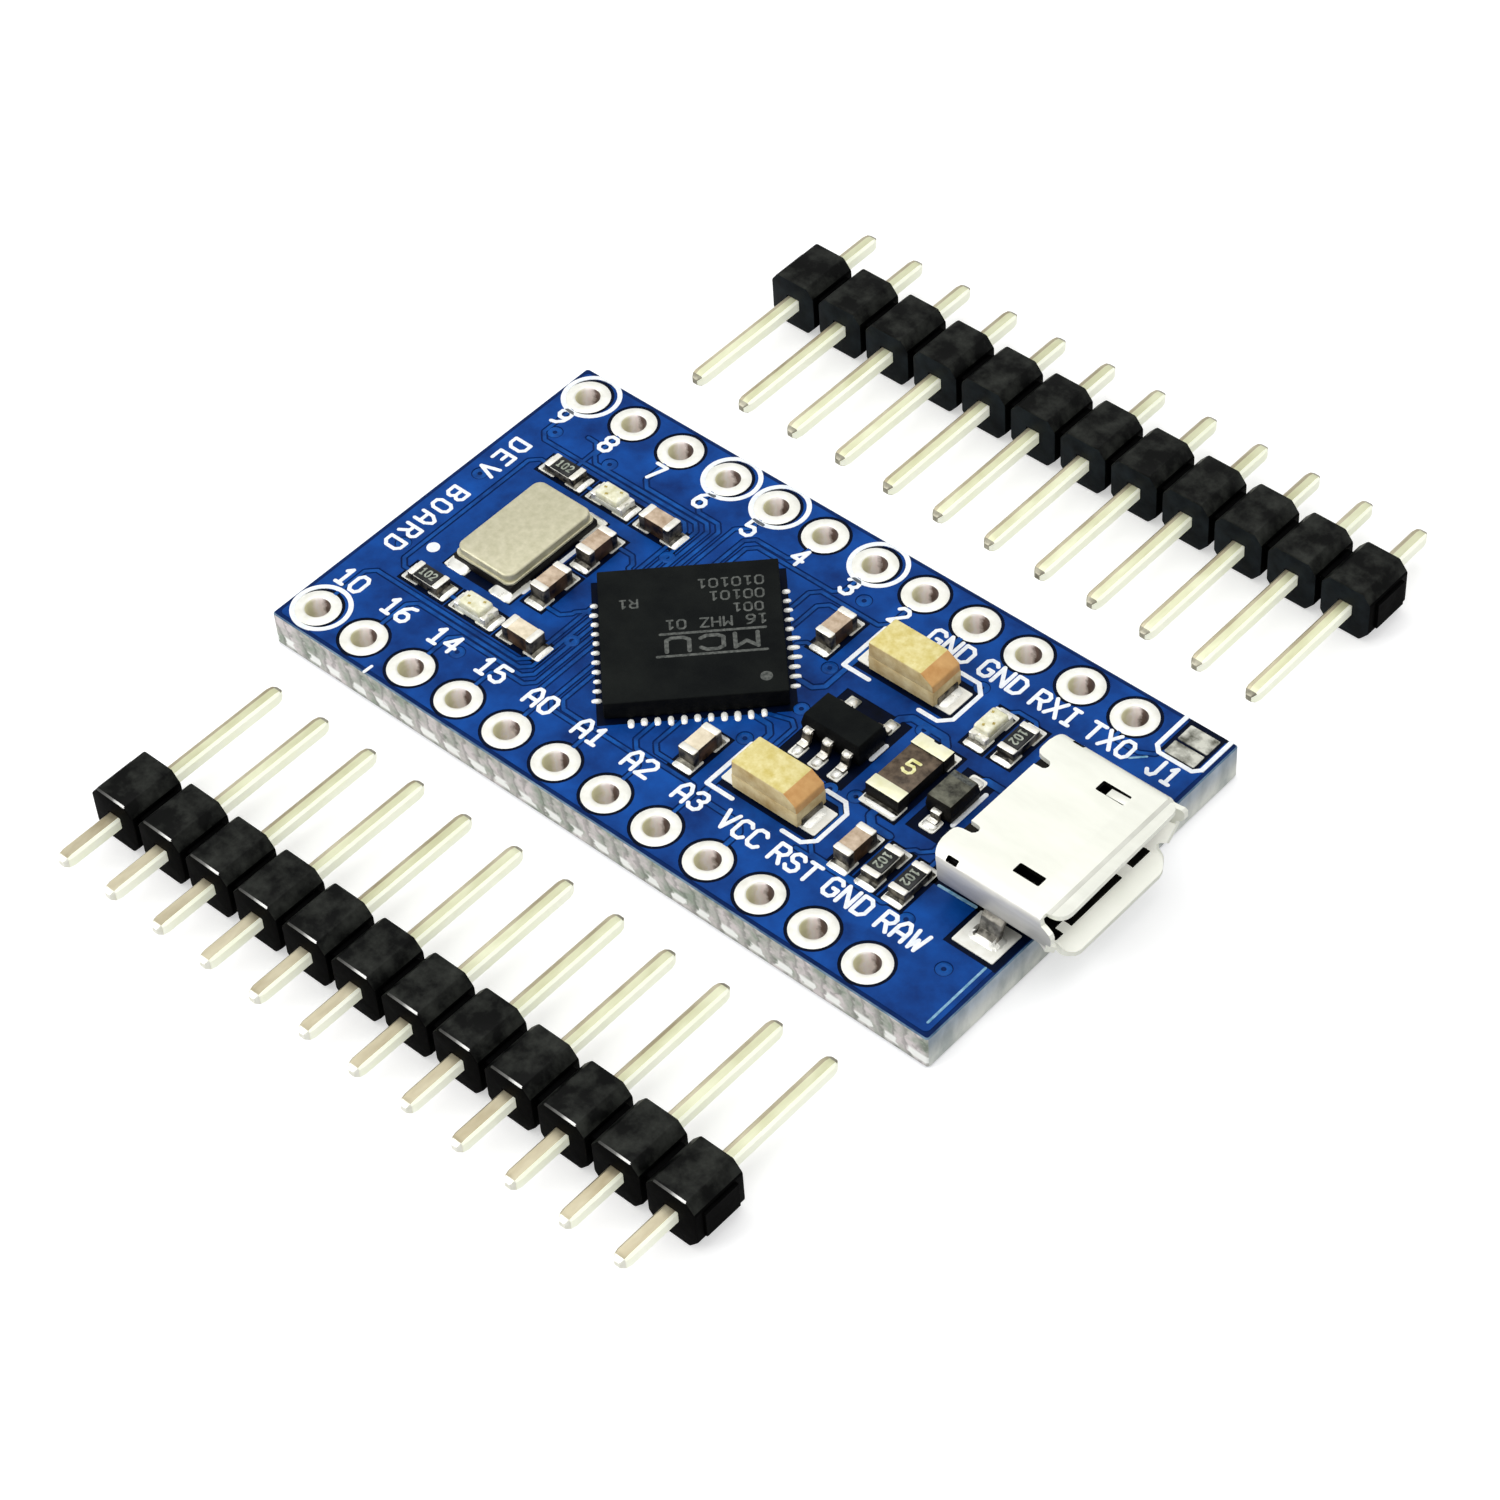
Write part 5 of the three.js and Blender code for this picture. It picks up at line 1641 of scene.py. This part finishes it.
def strip_pin(body, i, x0, y0, way, rnd):
    """The long end points along way, the short end the other way."""
    x0 += PITCH * i + rnd.uniform(-0.012, 0.012)
    long_y = way * (BLOCK_L / 2 + 6.0) + rnd.uniform(-0.05, 0.05)
    short_y = -way * (BLOCK_L / 2 + 2.7) + rnd.uniform(-0.05, 0.05)
    low, high = sorted((long_y, short_y))
    half, tip, cut = PIN_W / 2 - 0.01, 0.4, 0.1
    stations = [  # y, half size, corner cut
        (low, 0.13, 0.03), (low + 0.04, 0.17, 0.04), (low + 0.18, 0.26, 0.06),
        (low + tip, half, cut), (0.0, half, cut), (high - tip, half, cut),
        (high - 0.18, 0.26, 0.06), (high - 0.04, 0.17, 0.04), (high, 0.13, 0.03),
    ]
    verts, faces, mats = [], [], []
    for y, size, corner in stations:
        verts += [(x0 + x, y0 + y, AXIS_Z + z) for x, z in pin_section(size, corner)]
    front = body == "front"
    for k in range(8):
        for a in range(9):
            b = (a + 1) % 9
            faces.append((k * 9 + a, k * 9 + b, (k + 1) * 9 + b, (k + 1) * 9 + a))
            mats.append(pin_mat(front, k, a))
    faces += [list(range(8, -1, -1)), list(range(72, 81))]
    mats += [1 if front else 3, 3]
    shape = Shape()
    shape.add(verts, faces, mats)
    name = f"{body}_pin_{i + 1:02d}"
    build(shape, name, [PIN, PIN_TIP_LIT, PIN_LIT_SIDE, PIN_END_SHADED, PIN_TOP_HIGHLIGHT], name,
          f"{body}_header", 30)


# strip, y, direction of the long pin ends along Y, seed
for body, y0, way, seed in (("front", -18.62, 1, 3), ("back", 18.55, -1, 5)):
    rnd = random.Random(seed)
    housing(body, STRIP_X0[body], y0, rnd)
    for i in range(12):
        strip_pin(body, i, STRIP_X0[body], y0, way, rnd)

# ---------------------------------------------------------------- table, light, camera (metres)
bpy.ops.mesh.primitive_plane_add(size=4.0, location=(0, 0, -0.00006))
floor = bpy.context.active_object
floor.name = "floor"
floor.data.materials.append(FLOOR)


def studio():
    """Soft grey light, a little brighter above; the camera itself sees plain white."""
    world = bpy.data.worlds.new("studio")
    bpy.context.scene.world = world
    tree = empty_tree(world)
    place = node(tree, "TexCoord").outputs["Generated"]
    height = node(tree, "SeparateXYZ", {0: place}).outputs["Z"]
    greys = [(0.0, (0.46, 0.47, 0.49, 1)), (0.55, (0.66, 0.66, 0.66, 1))]
    sky = {"Color": colour_ramp(tree, height, greys), "Strength": 1.0}
    light = node(tree, "Background", sky).outputs[0]
    pale = {"Color": (1.0, 1.0, 1.0, 1), "Strength": 1.0}
    white = node(tree, "Background", pale).outputs[0]
    seen = node(tree, "LightPath").outputs["Is Camera Ray"]
    both = node(tree, "MixShader", {0: seen, 1: light, 2: white})
    node(tree, "OutputWorld", {0: both.outputs[0]})


def area_light(name, place, power, size):
    """A square white light aimed at the origin."""
    data = bpy.data.lights.new(name, "AREA")
    data.energy = power
    data.size = size
    data.color = (1, 1, 1)
    light = bpy.data.objects.new(name, data)
    bpy.context.scene.collection.objects.link(light)
    light.location = place
    light.rotation_mode = "QUATERNION"
    light.rotation_quaternion = (-Vector(place)).to_track_quat("-Z", "Y")


studio()
area_light("key", (-0.20, -0.31, 0.22), power=0.8, size=0.22)
area_light("fill", (0.30, 0.16, 0.28), power=0.15, size=0.3)
area_light("top", (-0.05, 0.05, 0.5), power=0.8, size=0.4)


def camera():
    data = bpy.data.cameras.new("camera")
    data.sensor_fit = "HORIZONTAL"
    data.sensor_width = 36.0
    data.lens = 97.507
    data.clip_start = 0.005
    data.clip_end = 10.0
    made = bpy.data.objects.new("camera", data)
    bpy.context.scene.collection.objects.link(made)
    # the camera's own axes in the scene
    right = (0.74522637, 0.66481822, -0.05152074)
    up = (-0.46602638, 0.57453445, 0.67285182)
    backwards = (0.47692459, -0.4774169, 0.73798106)
    matrix = Matrix((right, up, backwards)).transposed().to_4x4()
    matrix.translation = Vector((74.439, -74.492, 112.707)) * MM
    made.matrix_world = matrix
    bpy.context.scene.camera = made


camera()
view = bpy.context.scene.view_settings
view.view_transform = "Standard"
view.look = "None"
view.exposure = 0.0
